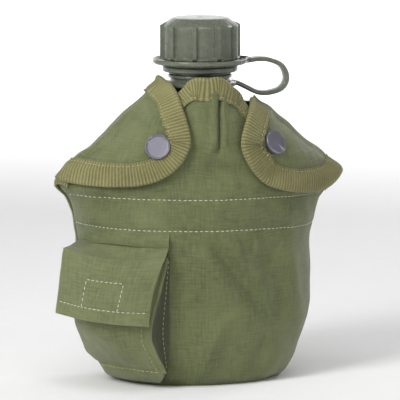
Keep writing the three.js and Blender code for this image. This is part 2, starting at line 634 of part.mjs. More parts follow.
function makePocket() {
  const rows = steps(bag.low, bag.high, 8);
  const lines = rows.map(bagLine);
  const side = (distance) => {
    const moved = lines.map((line) => shiftedLine(line, distance));
    return (i, j) => new THREE.Vector3(moved[j][i].x, moved[j][i].y, rows[j]);
  };
  const bagSheet = sheet(lines[0].length, rows.length, side(0.55), side(-0.55));
  const keepOut = solid(stack(steps(0, 100, 10).map((z) => formLoop(cover, z, -0.35))));
  add("pocket_bag", geometryOf(solid(bagSheet).subtract(keepOut)), cloth);

  const headerAngle = (u, z) => lerp(POCKET.left + 1, angleAtX(POCKET.rightX, z), u);
  add("pocket_header", formSheet(steps(0, 1, 8), [0, 1], headerAngle, (u, v) => lerp(82.9, 87.5, v),
    () => CLOTH + 0.7, () => 0.7), cloth);

  // The flap's hanging sheet is a little wider and longer than the bag, and swells to follow it.
  const flapRows = steps(0, 1, 6);
  const flapPoint = (s, v, d) => {
    const top = POCKET.flapTop;
    const z = lerp(lerp(top.z, top.z - 3, s), lerp(42, 35, s), v);
    const x = lerp(lerp(top.leftX, top.rightX, s), lerp(-89.5, -46, s), v);
    const y = lerp(lerp(top.leftY, top.rightY, s), lerp(-13, -53, s), v);
    const bulge = lerp(3, 10.5, v ** 0.6) * 4 * s * (1 - s) + d;
    return new THREE.Vector3(x - 0.58 * bulge, y - 0.81 * bulge, z);
  };
  const flapSide = (d) => (i, j) => flapPoint(i / 8, flapRows[j], d);

  // The loop patch faces out from the bag's front, and the hook patch backs the flap opposite it.
  const bagPatch = (d) => (i, j) => {
    const z = lerp(44, 60, j / 3);
    const p = shiftedLine(bagLine(z), d)[5 + i];
    return new THREE.Vector3(p.x, p.y, z);
  };
  const flapPatch = (d) => (i, j) => flapPoint(lerp(0.34, 0.62, i / 2), lerp(0.45, 0.85, j / 3), d);
  add("pocket_loop_patch", sheet(3, 4, bagPatch(1.7), bagPatch(0.9)), hookAndLoop);
  add("pocket_hook_patch", sheet(3, 4, flapPatch(-0.4), flapPatch(-1.2)), hookAndLoop);
  add("pocket_flap", sheet(9, flapRows.length, flapSide(CLOTH), flapSide(0)), cloth);

  // The fixed strip that carries the flap, from the panel out to the flap's fold.
  const shelf = (lift) => (i, j) => {
    const s = i / 8;
    const body = skin(cover, lerp(POCKET.left + 1, angleAtX(POCKET.rightX, 82), s), 82, 0.8);
    const edge = flapPoint(s, 0, -0.8);
    return body.lerp(edge, j).add(new THREE.Vector3(0, 0, lift));
  };
  add("pocket_shelf", sheet(9, 2, shelf(0.5), shelf(-0.5)), cloth);
}

// ---- Belt fittings on the back ---------------------------------------------------------------------
// A profile drawn in depth and height (y, z), pushed out along x.
function sideExtrusion(points, width, x) {
  const shape = new THREE.Shape(points.map(([y, z]) => new THREE.Vector2(y, z)));
  const bar = new THREE.ExtrudeGeometry(shape, { depth: width, bevelEnabled: false });
  return bar.applyMatrix4(new THREE.Matrix4().makeBasis(
    new THREE.Vector3(0, 1, 0), new THREE.Vector3(0, 0, 1), new THREE.Vector3(1, 0, 0),
  )).translate(x - width / 2, 0, 0);
}

function makeKeeper(name, x) {
  const { plateY, steel: t, channel, low, high, width } = KEEPER;
  const web = 25;
  const heights = steps(low - 14, high - 10, 6);
  const widths = steps(x - web / 2, x + web / 2, 4);
  const strap = (gap) => (i, j) =>
    new THREE.Vector3(widths[i], backY(widths[i], heights[j]) + gap, heights[j]);
  add(`${name}_belt_webbing`, sheet(5, heights.length, strap(2), strap(0.8)), tape);

  // The bent steel frame: plate against the cover, hook over the belt, short lip that the slide locks.
  const legY = plateY + t + channel;
  const lipY = plateY + 5.4;
  const frame = [[plateY, low], [lipY + t, low], [lipY + t, low + 8], [lipY, low + 8], [lipY, low + t],
    [plateY + t, low + t], [plateY + t, high - 4], [plateY + t + 2.6, high - t], [legY - 2.6, high - t],
    [legY, high - 4], [legY, low + 3], [legY + t, low + 3], [legY + t, high - 3], [legY - 1.6, high],
    [plateY + 3, high], [plateY, high - 3]];
  add(`${name}_keeper_frame`, sideExtrusion(frame, width, x), steel);

  const slideLow = low + t + GAP;
  const slideHigh = slideLow + 10;
  const block = (grow, from, to) => {
    const half = width / 2 + grow + 0.1;
    return solid(boxAt([x - half, lipY - grow, from], [x + half, legY + t + grow, to]));
  };
  const sleeve = block(1.3, slideLow, slideHigh).subtract(block(0.4, slideLow - 5, slideHigh + 5));
  add(`${name}_keeper_slide`, geometryOf(sleeve), steel);

  // A webbing loop sewn down either side of the plate holds the frame on the cover.
  const top = plateY + t + GAP;
  const hat = [[-19, plateY], [-14, plateY], [-13.4, top], [13.4, top], [14, plateY], [19, plateY],
    [19, plateY + 1.2], [14.9, plateY + 1.2], [14.3, top + 1.2], [-14.3, top + 1.2], [-14.9, plateY + 1.2],
    [-19, plateY + 1.2]];
  const loop = new THREE.ExtrudeGeometry(new THREE.Shape(hat.map(([u, v]) => new THREE.Vector2(x + u, v))),
    { depth: 22, bevelEnabled: false }).translate(0, 0, low + 26);
  add(`${name}_keeper_loop`, loop, tape);
}

// ---- Assembly ------------------------------------------------------------------------------------------
makeBottle();
makeCap();
makeStrap();
makePanels();
makeBottom();
makeCollarTape();
makeFlap("left", FLAPS.left, snapFrames[0]);
makeFlap("right", FLAPS.right, snapFrames[1]);
makeSnap("left", snapFrames[0]);
makeSnap("right", snapFrames[1]);
makePocket();
makeKeeper("left", -KEEPER.x);
makeKeeper("right", KEEPER.x);

export default part;
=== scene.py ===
"""The canteen's looks: a blown bottle and its screw cap in a sewn nylon cover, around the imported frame."""
import math

import bpy
import numpy as np
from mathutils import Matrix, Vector


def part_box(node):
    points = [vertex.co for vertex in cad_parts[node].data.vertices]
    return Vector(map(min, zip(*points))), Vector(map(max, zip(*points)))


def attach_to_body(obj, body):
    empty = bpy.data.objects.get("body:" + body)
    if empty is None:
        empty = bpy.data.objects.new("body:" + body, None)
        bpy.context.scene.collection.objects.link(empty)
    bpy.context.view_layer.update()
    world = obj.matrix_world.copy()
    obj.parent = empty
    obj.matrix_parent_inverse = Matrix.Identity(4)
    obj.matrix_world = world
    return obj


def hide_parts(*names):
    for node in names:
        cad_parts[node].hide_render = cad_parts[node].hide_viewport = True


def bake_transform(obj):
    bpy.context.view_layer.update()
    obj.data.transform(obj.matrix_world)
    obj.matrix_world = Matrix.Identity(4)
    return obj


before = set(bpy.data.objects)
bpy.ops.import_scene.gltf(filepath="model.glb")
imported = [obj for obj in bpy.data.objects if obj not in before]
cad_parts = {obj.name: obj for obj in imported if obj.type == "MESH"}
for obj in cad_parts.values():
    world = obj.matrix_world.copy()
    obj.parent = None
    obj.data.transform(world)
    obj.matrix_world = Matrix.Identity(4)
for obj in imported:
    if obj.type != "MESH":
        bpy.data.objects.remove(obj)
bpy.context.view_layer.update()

# Lengths are in millimetres until a mesh is made. Front is -Y, right is +X, up is +Z.
MM = 0.001
CLOTH = 1.2  # nylon duck
TAPE = 0.9  # one leaf of the folded binding tape
TAPE_WIDTH = 12.5
RIB = 2.05  # pitch of the tape's ribs
STITCH = 3.0  # pitch of the seams' stitches
TUCK = 4.4  # how far the front panel lies below the flaps
VALLEY = 1.8  # the deepest fold that the front cloth can make before it meets its lining
NECK_R = 17.5
BORE_R = 14.5
PITCH = 5.0
NECK_FOLD = np.array([26.0, -9.0, 171.5])  # ends of the right flap's hinge line
WING_FOLD = np.array([84.0, -1.0, 120.0])
SNAP_X, SNAP_Z = 35.3, 141.4
SEAMS = (111.0, 93.0)  # heights of the two seams across the front


# ---- Curves, noise and folds --------------------------------------------------------------------------
def curve(knots):
    """A smooth curve through (position, value) knots that never overshoots, held level past both ends."""
    xs, ys = np.array(knots, float).T
    rise = np.diff(ys) / np.diff(xs)
    slope = np.zeros(len(xs))
    for i in range(1, len(xs) - 1):
        if rise[i - 1] * rise[i] > 0:
            slope[i] = 2 / (1 / rise[i - 1] + 1 / rise[i])

    def value(x):
        x = np.clip(np.asarray(x, float), xs[0], xs[-1])
        i = np.clip(np.searchsorted(xs, x, side="right") - 1, 0, len(xs) - 2)
        h = xs[i + 1] - xs[i]
        t = (x - xs[i]) / h
        start = ys[i] * (1 + 2 * t) * (1 - t) ** 2 + h * slope[i] * t * (1 - t) ** 2
        return start + ys[i + 1] * t * t * (3 - 2 * t) + h * slope[i + 1] * t * t * (t - 1)

    return value


def smooth(x, low, high):
    t = np.clip((np.asarray(x, float) - low) / (high - low), 0, 1)
    return t * t * (3 - 2 * t)


def lerp(a, b, t):
    return a + (b - a) * t


def spline(points, count, closed=False):
    """Points evenly spaced along a Catmull-Rom curve through the given ones."""
    p = np.array(points, float)
    if closed:
        p = np.concatenate([p[-1:], p, p[:2]])
    else:
        p = np.concatenate([2 * p[:1] - p[1:2], p, 2 * p[-1:] - p[-2:-1]])
    t = np.linspace(0, 1, 24, endpoint=False)[:, None]
    fine = []
    for a, b, c, d in zip(p[:-3], p[1:-2], p[2:-1], p[3:]):
        fine.append(0.5 * (2 * b + (c - a) * t + (2 * a - 5 * b + 4 * c - d) * t**2
                           + (3 * b - a - 3 * c + d) * t**3))
    fine = np.concatenate(fine + [p[-2:-1]])
    return resample(fine, count)


def resample(line, count):
    steps = np.linalg.norm(np.diff(line, axis=0), axis=1)
    along = np.concatenate([[0], np.cumsum(steps)])
    at = np.linspace(0, along[-1], count)
    return np.stack([np.interp(at, along, line[:, k]) for k in range(line.shape[1])], axis=1)


def resample_columns(grid, count):
    """The same sheet with that many evenly spaced columns."""
    return np.stack([resample(grid[:, j], count) for j in range(grid.shape[1])], axis=1)


def noise(points, grain, seed):
    """Smooth noise from -1 to 1, with grains of that size."""
    p = points / grain
    cell = np.floor(p)
    f = p - cell
    f = f * f * (3 - 2 * f)
    total = np.zeros(p.shape[:-1])
    for corner in np.ndindex(2, 2, 2):
        at = cell + corner
        h = np.sin(at @ np.array([127.1, 311.7, 74.7]) + seed * 13.7) * 43758.5453
        weight = np.prod(np.where(corner, f, 1 - f), axis=-1)
        total += (2 * (h - np.floor(h)) - 1) * weight
    return total


def fold(x, z, start, end, width, height):
    """The relief of one soft fold between two points of the front view: a ridge, or a valley below 0."""
    a = np.array(start, float)
    d = np.array(end, float) - a
    length = np.linalg.norm(d)
    d /= length
    along = ((x - a[0]) * d[0] + (z - a[1]) * d[1]) / length
    side = (z - a[1]) * d[0] - (x - a[0]) * d[1]
    fade = smooth(along, -0.15, 0.3) * (1 - smooth(along, 0.65, 1.15))
    return height * fade * np.exp(-((side / width) ** 2))


# ---- The cover's form: a kidney section that changes with height --------------------------------------
half_width = curve([[0, 50], [3, 54], [9, 58], [13, 60], [20, 62.7], [28, 65.6], [36, 68], [45, 69.4],
                    [82, 69.6], [90, 71], [98, 73.5], [109, 79], [118, 87], [126, 82], [131.5, 75],
                    [137, 66.3], [142, 61.5], [147, 56.6], [152, 51.8], [157, 46.8], [162, 40], [170, 30.8],
                    [177, 24.5]])
front_depth = curve([[0, 34], [6, 38], [13, 40.5], [25, 42.3], [45, 43], [118, 43.6], [130, 44], [141, 43],
                     [150, 40.6], [158, 37.6], [165, 35.4], [177, 34]])
back_depth = curve([[0, 30], [6, 33.5], [13, 36], [25, 38.3], [45, 40], [108, 40], [125, 37], [140, 33.5],
                    [150, 30.8], [160, 28], [177, 25]])
widest_y = curve([[0, 10], [20, 16], [45, 18.5], [85, 18.5], [98, 13], [109, 7], [118, 3], [135, 0]])
right_slump = curve([[119, 0], [127, 4.5], [136, 3.6], [150, 4.8], [163, 5.2], [174, 0]])
squareness = curve([[0, 2.3], [85, 2.3], [118, 1.55], [140, 2]])
dish = curve([[0, 3], [25, 7], [105, 7], [140, 3.5], [165, 0]])
front_top = curve([[180, 117], [190, 129], [200, 142], [210, 156], [220, 169.5], [231, 175.8], [241, 178.4],
                   [254, 179.6], [270, 179.8], [286, 178.4], [296, 176], [306, 172.8], [320, 162], [330, 150],
                   [340, 140], [350, 128], [360, 117]])
back_top = curve([[-20, 161], [40, 161], [90, 166], [140, 173], [200, 174.5]])


def section(theta, z):
    a, y0, n = half_width(z), widest_y(z), squareness(z)
    c, s = np.cos(theta), np.sin(theta)
    a = a - np.where(c > 0, right_slump(z), 0)
    depth = np.where(s < 0, y0 + front_depth(z), back_depth(z) - y0)
    r = ((np.abs(c) / a) ** n + (np.abs(s) / depth) ** n + 1e-12) ** (-1 / n)
    hollow = np.where(s > 0, dish(z) * (1 - np.minimum(1, (r * c / a) ** 2)) ** 2, 0)
    return np.stack(np.broadcast_arrays(r * c, y0 + r * s - hollow, z + 0 * r), axis=-1)


def skin(degrees, z, gap=0.0):
    """The points at those angles (0 = right side, 270 = front) and heights, pushed out by gap."""
    theta = np.radians(degrees)
    z = z + 0 * theta
    theta = theta + 0 * z
    around = section(theta + 0.004, z) - section(theta - 0.004, z)
    up = section(theta, z + 0.3) - section(theta, z - 0.3)
    normal = np.cross(around, up)
    normal /= np.linalg.norm(normal, axis=-1, keepdims=True)
    return section(theta, z) + normal * (np.asarray(gap) + 0 * z)[..., None]


def find_angle(wanted, low, high, below):
    """Bisects for the angle where below(angle) turns false."""
    low, high = np.full(wanted.shape, float(low)), np.full(wanted.shape, float(high))
    for _ in range(34):
        mid = (low + high) / 2
        under = below(mid)
        low, high = np.where(under, mid, low), np.where(under, high, mid)
    return low


def angle_at_x(x, z):
    """The angle at which the cover's front passes a given x."""
    x, z = np.broadcast_arrays(np.asarray(x, float), np.asarray(z, float))
    return find_angle(x, 180, 360, lambda mid: section(np.radians(mid), z)[..., 0] < x)


def walk(degrees, z, heading, distance, steps=4):
    """Moves points over the form along their headings, and returns their new angles and heights."""
    for _ in range(steps):
        around = skin(degrees + 0.5, z) - skin(degrees - 0.5, z)
        up = skin(degrees, z + 0.5) - skin(degrees, z - 0.5)
        normal = np.cross(around, up)
        normal /= np.linalg.norm(normal, axis=-1, keepdims=True)
        step = heading - normal * np.sum(heading * normal, axis=-1, keepdims=True)
        step *= (distance / steps / np.linalg.norm(step, axis=-1))[..., None]
        aa, ab, bb = (np.sum(u * v, axis=-1) for u, v in ((around, around), (around, up), (up, up)))
        a, b = np.sum(step * around, axis=-1), np.sum(step * up, axis=-1)
        whole = aa * bb - ab * ab
        degrees = degrees + (bb * a - ab * b) / whole
        z = z + (aa * b - ab * a) / whole
    return degrees, z


def overhang(z, ahead=0.0):
    """How many degrees past the side the fold between back and flap lies, or a line that far ahead of it."""
    z = np.asarray(z, float)
    t = np.clip((NECK_FOLD[2] - z) / (NECK_FOLD[2] - WING_FOLD[2]), 0, 1)
    y = lerp(NECK_FOLD[1], WING_FOLD[1], t) + 1 - ahead
    past = find_angle(y, 0, 60, lambda mid: section(np.radians(180 + mid), z)[..., 1] > y)
    return past * smooth(z, 119, 123)


def tuck(z):
    return smooth(z, 110, 128)


# ---- Meshes -------------------------------------------------------------------------------------------
def grid_faces(columns, rows, wrap=False):
    i = np.arange(columns if wrap else columns - 1)[:, None]
    j = np.arange(rows - 1)[None]
    a = i * rows + j
    b = ((i + 1) % columns) * rows + j
    return np.stack([a, b, b + 1, a + 1], axis=-1).reshape(-1, 4)


def make_piece(name, points, faces, material, uv=None, sharp=40):
    mesh = bpy.data.meshes.new(name)
    points = np.asarray(points, float)
    faces = [list(f) for f in faces]
    first = np.array([points[f[0]] for f in faces])
    second = np.array([points[f[1]] for f in faces])
    third = np.array([points[f[2]] for f in faces])
    fourth = np.array([points[f[-1]] for f in faces])
    volume = (first * (np.cross(second, third) + np.cross(third, fourth))).sum()
    if volume < 0:
        faces = [f[::-1] for f in faces]
    mesh.from_pydata((points * MM).tolist(), [], faces)
    if uv is not None:
        index = np.zeros(len(mesh.loops), int)
        mesh.loops.foreach_get("vertex_index", index)
        mesh.uv_layers.new(name="threads").data.foreach_set("uv", (np.asarray(uv)[index] * MM).ravel())
    mesh.shade_smooth()
    mesh.set_sharp_from_angle(angle=math.radians(sharp))
    mesh.materials.append(material)
    piece = bpy.data.objects.new(name, mesh)
    bpy.context.scene.collection.objects.link(piece)
    return piece


def grid_normals(points):
    normal = np.cross(np.gradient(points, axis=0), np.gradient(points, axis=1))
    return normal / np.maximum(np.linalg.norm(normal, axis=-1, keepdims=True), 1e-9)


def arc_uv(points):
    """Each grid point's place in the flat cloth: its distance from the middle column, and up its column."""
    across = np.linalg.norm(np.diff(points, axis=0), axis=2)
    across = np.concatenate([np.zeros((1, points.shape[1])), np.cumsum(across, axis=0)])
    across -= across[len(across) // 2]
    up = np.linalg.norm(np.diff(points, axis=1), axis=2)
    up = np.concatenate([np.zeros((points.shape[0], 1)), np.cumsum(up, axis=1)], axis=1)
    return np.stack([across, up], axis=-1)


def cloth_piece(name, outer, material, thickness=CLOTH, uv=None):
    """A closed sheet of cloth whose outer side is a grid of points."""
    columns, rows = outer.shape[:2]
    inner = outer - grid_normals(outer) * thickness
    half = columns * rows
    border = np.concatenate([np.arange(columns) * rows, (columns - 1) * rows + np.arange(1, rows),
                             np.arange(columns - 2, -1, -1) * rows + rows - 1, np.arange(rows - 2, 0, -1)])
    after = np.roll(border, -1)
    rim = np.stack([after, border, border + half, after + half], axis=-1)
    front = grid_faces(columns, rows)
    faces = np.concatenate([front, front[:, ::-1] + half, rim])
    uv = arc_uv(outer) if uv is None else uv
    flat = uv.reshape(-1, 2)
    points = np.concatenate([outer.reshape(-1, 3), inner.reshape(-1, 3)])
    return make_piece(name, points, faces, material, np.concatenate([flat, flat]))


def loft_piece(name, loops, material, uv=None, sharp=40, closed=False):
    """Closed loops of points, joined end to end and capped, or joined round into a ring."""
    loops = np.asarray(loops, float)
    count, size = loops.shape[:2]
    faces = []
    for k in range(count if closed else count - 1):
        a, b = k * size, ((k + 1) % count) * size
        for i in range(size):
            n = (i + 1) % size
            faces.append([a + i, a + n, b + n, b + i])
    if not closed:
        faces.append(list(range(size))[::-1])
        faces.append([(count - 1) * size + i for i in range(size)])
    flat = None if uv is None else np.asarray(uv).reshape(-1, 2)
    return make_piece(name, loops.reshape(-1, 3), faces, material, flat, sharp)


def lathe_piece(name, profile, material, segments=72, place=None, shape=None, sharp=35):
    """A closed profile of (radius, height) turned about Z. shape(angle, radius, height) may move points."""
    profile = np.array(profile, float)
    angle = np.linspace(0, 2 * np.pi, segments, endpoint=False)[:, None]
    r = profile[None, :, 0] + 0 * angle
    h = profile[None, :, 1] + 0 * angle
    if shape:
        r, h = shape(angle, r, h)
    points = np.stack([r * np.cos(angle), r * np.sin(angle), h], axis=-1)
    rows = len(profile)
    i = np.arange(segments)[:, None]
    j = np.arange(rows)[None]
    a = i * rows + j
    b = ((i + 1) % segments) * rows + j
    up = (j + 1) % rows - j
    faces = np.stack([a, b, b + up, a + up], axis=-1).reshape(-1, 4)
    flat = points.reshape(-1, 3)
    on_axis = np.hypot(flat[:, 0], flat[:, 1]) < 1e-6
    first = {}
    merged = np.arange(len(flat))
    for k in np.nonzero(on_axis)[0]:
        merged[k] = first.setdefault(round(flat[k, 2], 4), k)
    kept = []
    for face in merged[faces]:
        ring = list(dict.fromkeys(face.tolist()))
        if len(ring) > 2:
            kept.append(ring)
    if place is not None:
        rotation, centre = place
        flat = flat @ rotation.T + centre
    used = sorted({k for f in kept for k in f})
    renumber = {k: n for n, k in enumerate(used)}
    kept = [[renumber[k] for k in f] for f in kept]
    return make_piece(name, flat[used], kept, material, sharp=sharp)


def rounded(profile, radius=0.5, steps=3):
    """A closed profile with its corners rounded, where they are not on the axis."""
    p = np.array(profile, float)
    out = []
    for before, at, after in zip(np.roll(p, 1, axis=0), p, np.roll(p, -1, axis=0)):
        a, b = before - at, after - at
        la, lb = np.linalg.norm(a), np.linalg.norm(b)
        if at[0] < 1e-6 or la < 1e-6 or lb < 1e-6:
            out.append(at)
            continue
        reach = min(radius, 0.45 * la, 0.45 * lb)
        start, end = at + a / la * reach, at + b / lb * reach
        for t in np.linspace(0, 1, steps + 1):
            out.append((1 - t) ** 2 * start + 2 * t * (1 - t) * at + t * t * end)
    return np.array(out)


def sweep_strip(name, line, across, width, thick, material, closed=False, uv=True, bulge=0.0):
    """A flat strip with rounded edges that follows a line; across is the direction of its width."""
    line = np.asarray(line, float)
    if closed:
        along = np.roll(line, -1, axis=0) - np.roll(line, 1, axis=0)
    else:
        along = np.gradient(line, axis=0)
    along /= np.linalg.norm(along, axis=1, keepdims=True)
    across = np.broadcast_to(np.asarray(across, float), line.shape)
    up = np.cross(along, across)
    up /= np.linalg.norm(up, axis=1, keepdims=True)
    edge = np.linspace(-0.5, 0.5, 11)
    crown = bulge * (1 - (2 * edge) ** 2)
    soft = np.sqrt(1 - np.clip((np.abs(edge) - 0.5) * width / (thick / 2) + 1, 0, 1) ** 2 + 0.04)
    top = np.stack([edge * width, crown + thick / 2 * np.minimum(1, soft)], axis=1)
    bottom = np.stack([edge[::-1] * width, crown[::-1] - thick / 2 * np.minimum(1, soft[::-1])], axis=1)
    profile = np.concatenate([top, bottom])
    loops = line[:, None] + across[:, None] * profile[None, :, :1] + up[:, None] * profile[None, :, 1:]
    reach = np.concatenate([[0], np.cumsum(np.linalg.norm(np.diff(line, axis=0), axis=1))])
    along, around = np.broadcast_arrays(reach[:, None], profile[None, :, 0])
    threads = np.stack([along, around], -1)
    return loft_piece(name, loops, material, threads if uv else None, closed=closed)


def stitch_piece(name, runs, material, body_of, pitch=STITCH, radius=0.24):
    """Rows of sewing thread, each stitch a small lens lying on the cloth. runs are (points, normals)."""
    rings = [(-0.33, 0.35), (-0.2, 0.95), (0.0, 1.15), (0.2, 0.95), (0.33, 0.35)]
    sides = 6
    points, faces = [], []
    for line, normals in runs:
        length = np.linalg.norm(np.diff(line, axis=0), axis=1).sum()
        count = max(2, int(round(length / pitch)))
        both = resample(np.concatenate([line, normals], axis=1), count * 2 + 1)[1::2]
        along = np.gradient(both[:, :3], axis=0)
        along /= np.linalg.norm(along, axis=1, keepdims=True)
        for k, (at, t) in enumerate(zip(both, along)):
            n = at[3:] / np.linalg.norm(at[3:])
            side = np.cross(n, t)
            slant = side * (0.1 * math.sin(k * 2.4))
            base = len(points)
            for f, r in rings:
                centre = at[:3] + (t + slant) * (f * pitch) + n * radius * (0.15 + 0.75 * (r - 0.35))
                for q in range(sides):
                    a = 2 * np.pi * q / sides
                    points.append(centre + (side * math.cos(a) + n * math.sin(a)) * radius * r)
            for ring in range(len(rings) - 1):
                for q in range(sides):
                    a, b = base + ring * sides + q, base + ring * sides + (q + 1) % sides
                    faces.append([a, b, b + sides, a + sides])
            faces.append([base + q for q in range(sides)][::-1])
            faces.append([base + (len(rings) - 1) * sides + q for q in range(sides)])
    piece = make_piece(name, points, faces, material, sharp=60)
    return body_of(piece)


def riding(body):
    return lambda piece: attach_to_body(piece, body)


# ---- Materials ----------------------------------------------------------------------------------------
class Nodes:
    """A material's node tree, built by short calls."""

    def __init__(self, name, roughness, metallic=0.0, **sockets):
        self.material = bpy.data.materials.new(name)
        self.material.use_nodes = True
        self.tree = self.material.node_tree
        self.shader = self.tree.nodes["Principled BSDF"]
        self.shader.inputs["Roughness"].default_value = roughness
        self.shader.inputs["Metallic"].default_value = metallic
        for socket, value in sockets.items():
            self.shader.inputs[socket.replace("_", " ")].default_value = value

    def add(self, kind, links=None, **settings):
        node = self.tree.nodes.new("ShaderNode" + kind)
        for key, value in settings.items():
            setattr(node, key, value)
        for socket, value in (links or {}).items():
            if isinstance(value, bpy.types.NodeSocket):
                self.tree.links.new(value, node.inputs[socket])
            else:
                node.inputs[socket].default_value = value
        return node

    def place(self, uv):
        kind, socket = ("UVMap", "UV") if uv else ("TexCoord", "Object")
        return self.add(kind).outputs[socket]

    def noise(self, where, scale, detail=3.0, stretch=(1, 1, 1), rough=0.55):
        spot = self.add("Mapping", {"Vector": where, "Scale": stretch}).outputs[0]
        made = self.add("TexNoise", {"Vector": spot, "Scale": scale, "Detail": detail, "Roughness": rough})
        return made.outputs["Fac"]

    def wave(self, where, period, axis, turn=0.0):
        spot = self.add("Mapping", {"Vector": where, "Rotation": (0, 0, turn)}).outputs[0]
        made = self.add("TexWave", {"Vector": spot, "Scale": 2 * math.pi / 20 / period, "Distortion": 0.0},
                        wave_type="BANDS", bands_direction=axis, wave_profile="SIN")
        return made.outputs["Fac"]

    def math(self, operation, a, b=0.0, clamp=False):
        return self.add("Math", {0: a, 1: b}, operation=operation, use_clamp=clamp).outputs[0]

    def mix(self, factor, a, b, blend="MIX"):
        node = self.add("Mix", {"Factor": factor}, data_type="RGBA", blend_type=blend)
        for socket, value in (("A", a), ("B", b)):
            target = [s for s in node.inputs if s.name == socket and s.type == "RGBA"][0]
            if isinstance(value, bpy.types.NodeSocket):
                self.tree.links.new(value, target)
            else:
                target.default_value = (*value, 1)
        return [s for s in node.outputs if s.type == "RGBA"][0]

    def bump(self, height, strength, distance, normal=None):
        links = {"Height": height, "Strength": strength, "Distance": distance}
        if normal is not None:
            links["Normal"] = normal
        return self.add("Bump", links).outputs[0]

    def finish(self, colour=None, normal=None, roughness=None):
        for socket, value in (("Base Color", colour), ("Normal", normal), ("Roughness", roughness)):
            if value is not None:
                self.tree.links.new(value, self.shader.inputs[socket])
        return self.material

    def edges(self, start, gain):
        """1 along the mesh's sharp outer edges, where the surface is rubbed."""
        pointed = self.add("NewGeometry").outputs["Pointiness"]
        return self.math("MULTIPLY", self.math("SUBTRACT", pointed, start), gain, clamp=True)


def between(nodes, value, low, high):
    """A value from 0 to 1 stretched to run from low to high."""
    return nodes.add("MapRange", {"Value": value, "To Min": low, "To Max": high}).outputs[0]


def woven_nylon(name, dark, light, faded, thread=0.0011, weave=0.7, uv=True):
    """Plain-woven nylon: crossing yarns of uneven thickness, faded where it is rubbed."""
    n = Nodes(name, 0.62, Sheen_Weight=0.22, Sheen_Roughness=0.45, Specular_IOR_Level=0.42)
    where = n.place(uv)
    yarn_a, yarn_b = n.wave(where, thread, "X"), n.wave(where, thread, "Y")
    over = n.math("MULTIPLY", n.math("SUBTRACT", yarn_a, 0.5), n.math("SUBTRACT", yarn_b, 0.5))
    weave_height = n.math("ADD", n.math("MULTIPLY", over, 2.0), 0.5, clamp=True)
    slub_a = n.noise(where, 1000, 2, (1, 0.1, 1))
    slub_b = n.noise(where, 1000, 2, (0.1, 1, 1))
    slub = n.math("ADD", n.math("MULTIPLY", slub_a, 0.5), n.math("MULTIPLY", slub_b, 0.5))
    height = n.math("ADD", n.math("MULTIPLY", weave_height, weave), n.math("MULTIPLY", slub, 0.9))
    patch = n.noise(n.place(False), 38, 4)
    rub = n.noise(n.place(False), 120, 5, rough=0.65)
    base = n.mix(between(n, slub, -1.2, 2.2), dark, light)
    base = n.mix(n.math("MULTIPLY", weave_height, 0.35), base, light)
    rubbed = n.math("ADD", patch, n.math("MULTIPLY", rub, 0.5))
    worn = n.math("MULTIPLY", n.math("SUBTRACT", rubbed, 0.55), 1.6,
                  clamp=True)
    base = n.mix(n.math("MULTIPLY", worn, 0.75), base, faded)
    edge = n.edges(0.515, 9)
    base = n.mix(n.math("MULTIPLY", edge, 0.5), base, faded)
    rough = between(n, rub, 0.5, 0.78)
    return n.finish(base, n.bump(height, 0.75, 0.00035), rough)


def ribbed_tape(name, dark, light, pitch=RIB * MM):
    """Binding tape: hard ribs across its length, with fine yarns along it, and painted shade and highlight on
    the ribs.
    """
    n = Nodes(name, 0.7, Sheen_Weight=0.2, Sheen_Roughness=0.5, Specular_IOR_Level=0.35)
    where = n.place(True)
    rib, yarn = n.wave(where, pitch, "X"), n.wave(where, 0.0007, "Y")
    fuzz = n.noise(where, 700, 3)
    patch = n.noise(n.place(False), 55, 4)
    # The tone darkens between the ribs and lightens on their crowns: painted shade and painted highlight,
    # with random fuzz and patches.
    tone = n.math("ADD", n.math("MULTIPLY", rib, 0.55), n.math("MULTIPLY", fuzz, 0.5))
    tone = n.math("ADD", tone, n.math("MULTIPLY", n.math("SUBTRACT", patch, 0.5), 0.7), clamp=True)
    base = n.mix(tone, dark, light)
    height = n.math("ADD", n.math("MULTIPLY", yarn, 0.35), fuzz)
    return n.finish(base, n.bump(height, 0.5, 0.0003))


def moulded_plastic(name, colour, worn, roughness):
    """Semi-gloss polyethylene with a faint orange peel, scuffs and fine scratches."""
    n = Nodes(name, roughness, Coat_Weight=0.35, Coat_Roughness=0.16, Specular_IOR_Level=0.55)
    where = n.place(False)
    peel, scuff = n.noise(where, 260, 3), n.noise(where, 45, 6, rough=0.7)
    scratch = n.noise(where, 520, 2, (1, 1, 0.06))
    base = n.mix(between(n, scuff, -0.35, 0.95), colour, worn)
    edge = n.edges(0.52, 12)
    base = n.mix(n.math("MULTIPLY", edge, 0.55), base, worn)
    rough = n.math("ADD", between(n, scuff, roughness - 0.12, roughness + 0.14),
                   n.math("MULTIPLY", scratch, 0.08))
    height = n.math("ADD", peel, n.math("MULTIPLY", scratch, 0.5))
    return n.finish(base, n.bump(height, 0.22, 0.0003), rough)


def painted_metal(name, colour, worn, roughness, metallic):
    """Baked enamel over metal, rubbed through on the edges."""
    n = Nodes(name, roughness, metallic, Coat_Weight=0.15, Coat_Roughness=0.25)
    where = n.place(False)
    grain, blotch = n.noise(where, 1400, 2), n.noise(where, 260, 4)
    base = n.mix(between(n, blotch, -0.2, 0.9), colour, tuple(c * 1.35 for c in colour))
    edge = n.edges(0.53, 14)
    base = n.mix(edge, base, worn)
    rough = between(n, blotch, roughness - 0.06, roughness + 0.12)
    return n.finish(base, n.bump(grain, 0.2, 0.0001), rough)


def sewing_thread(name, colour, light):
    """Twisted thread."""
    n = Nodes(name, 0.55, Sheen_Weight=0.2)
    where = n.place(False)
    twist = n.wave(where, 0.0007, "DIAGONAL")
    tone = n.math("ADD", n.math("MULTIPLY", twist, 0.4), n.math("MULTIPLY", n.noise(where, 160, 3), 0.8))
    return n.finish(n.mix(tone, colour, light), n.bump(twist, 0.4, 0.0002))


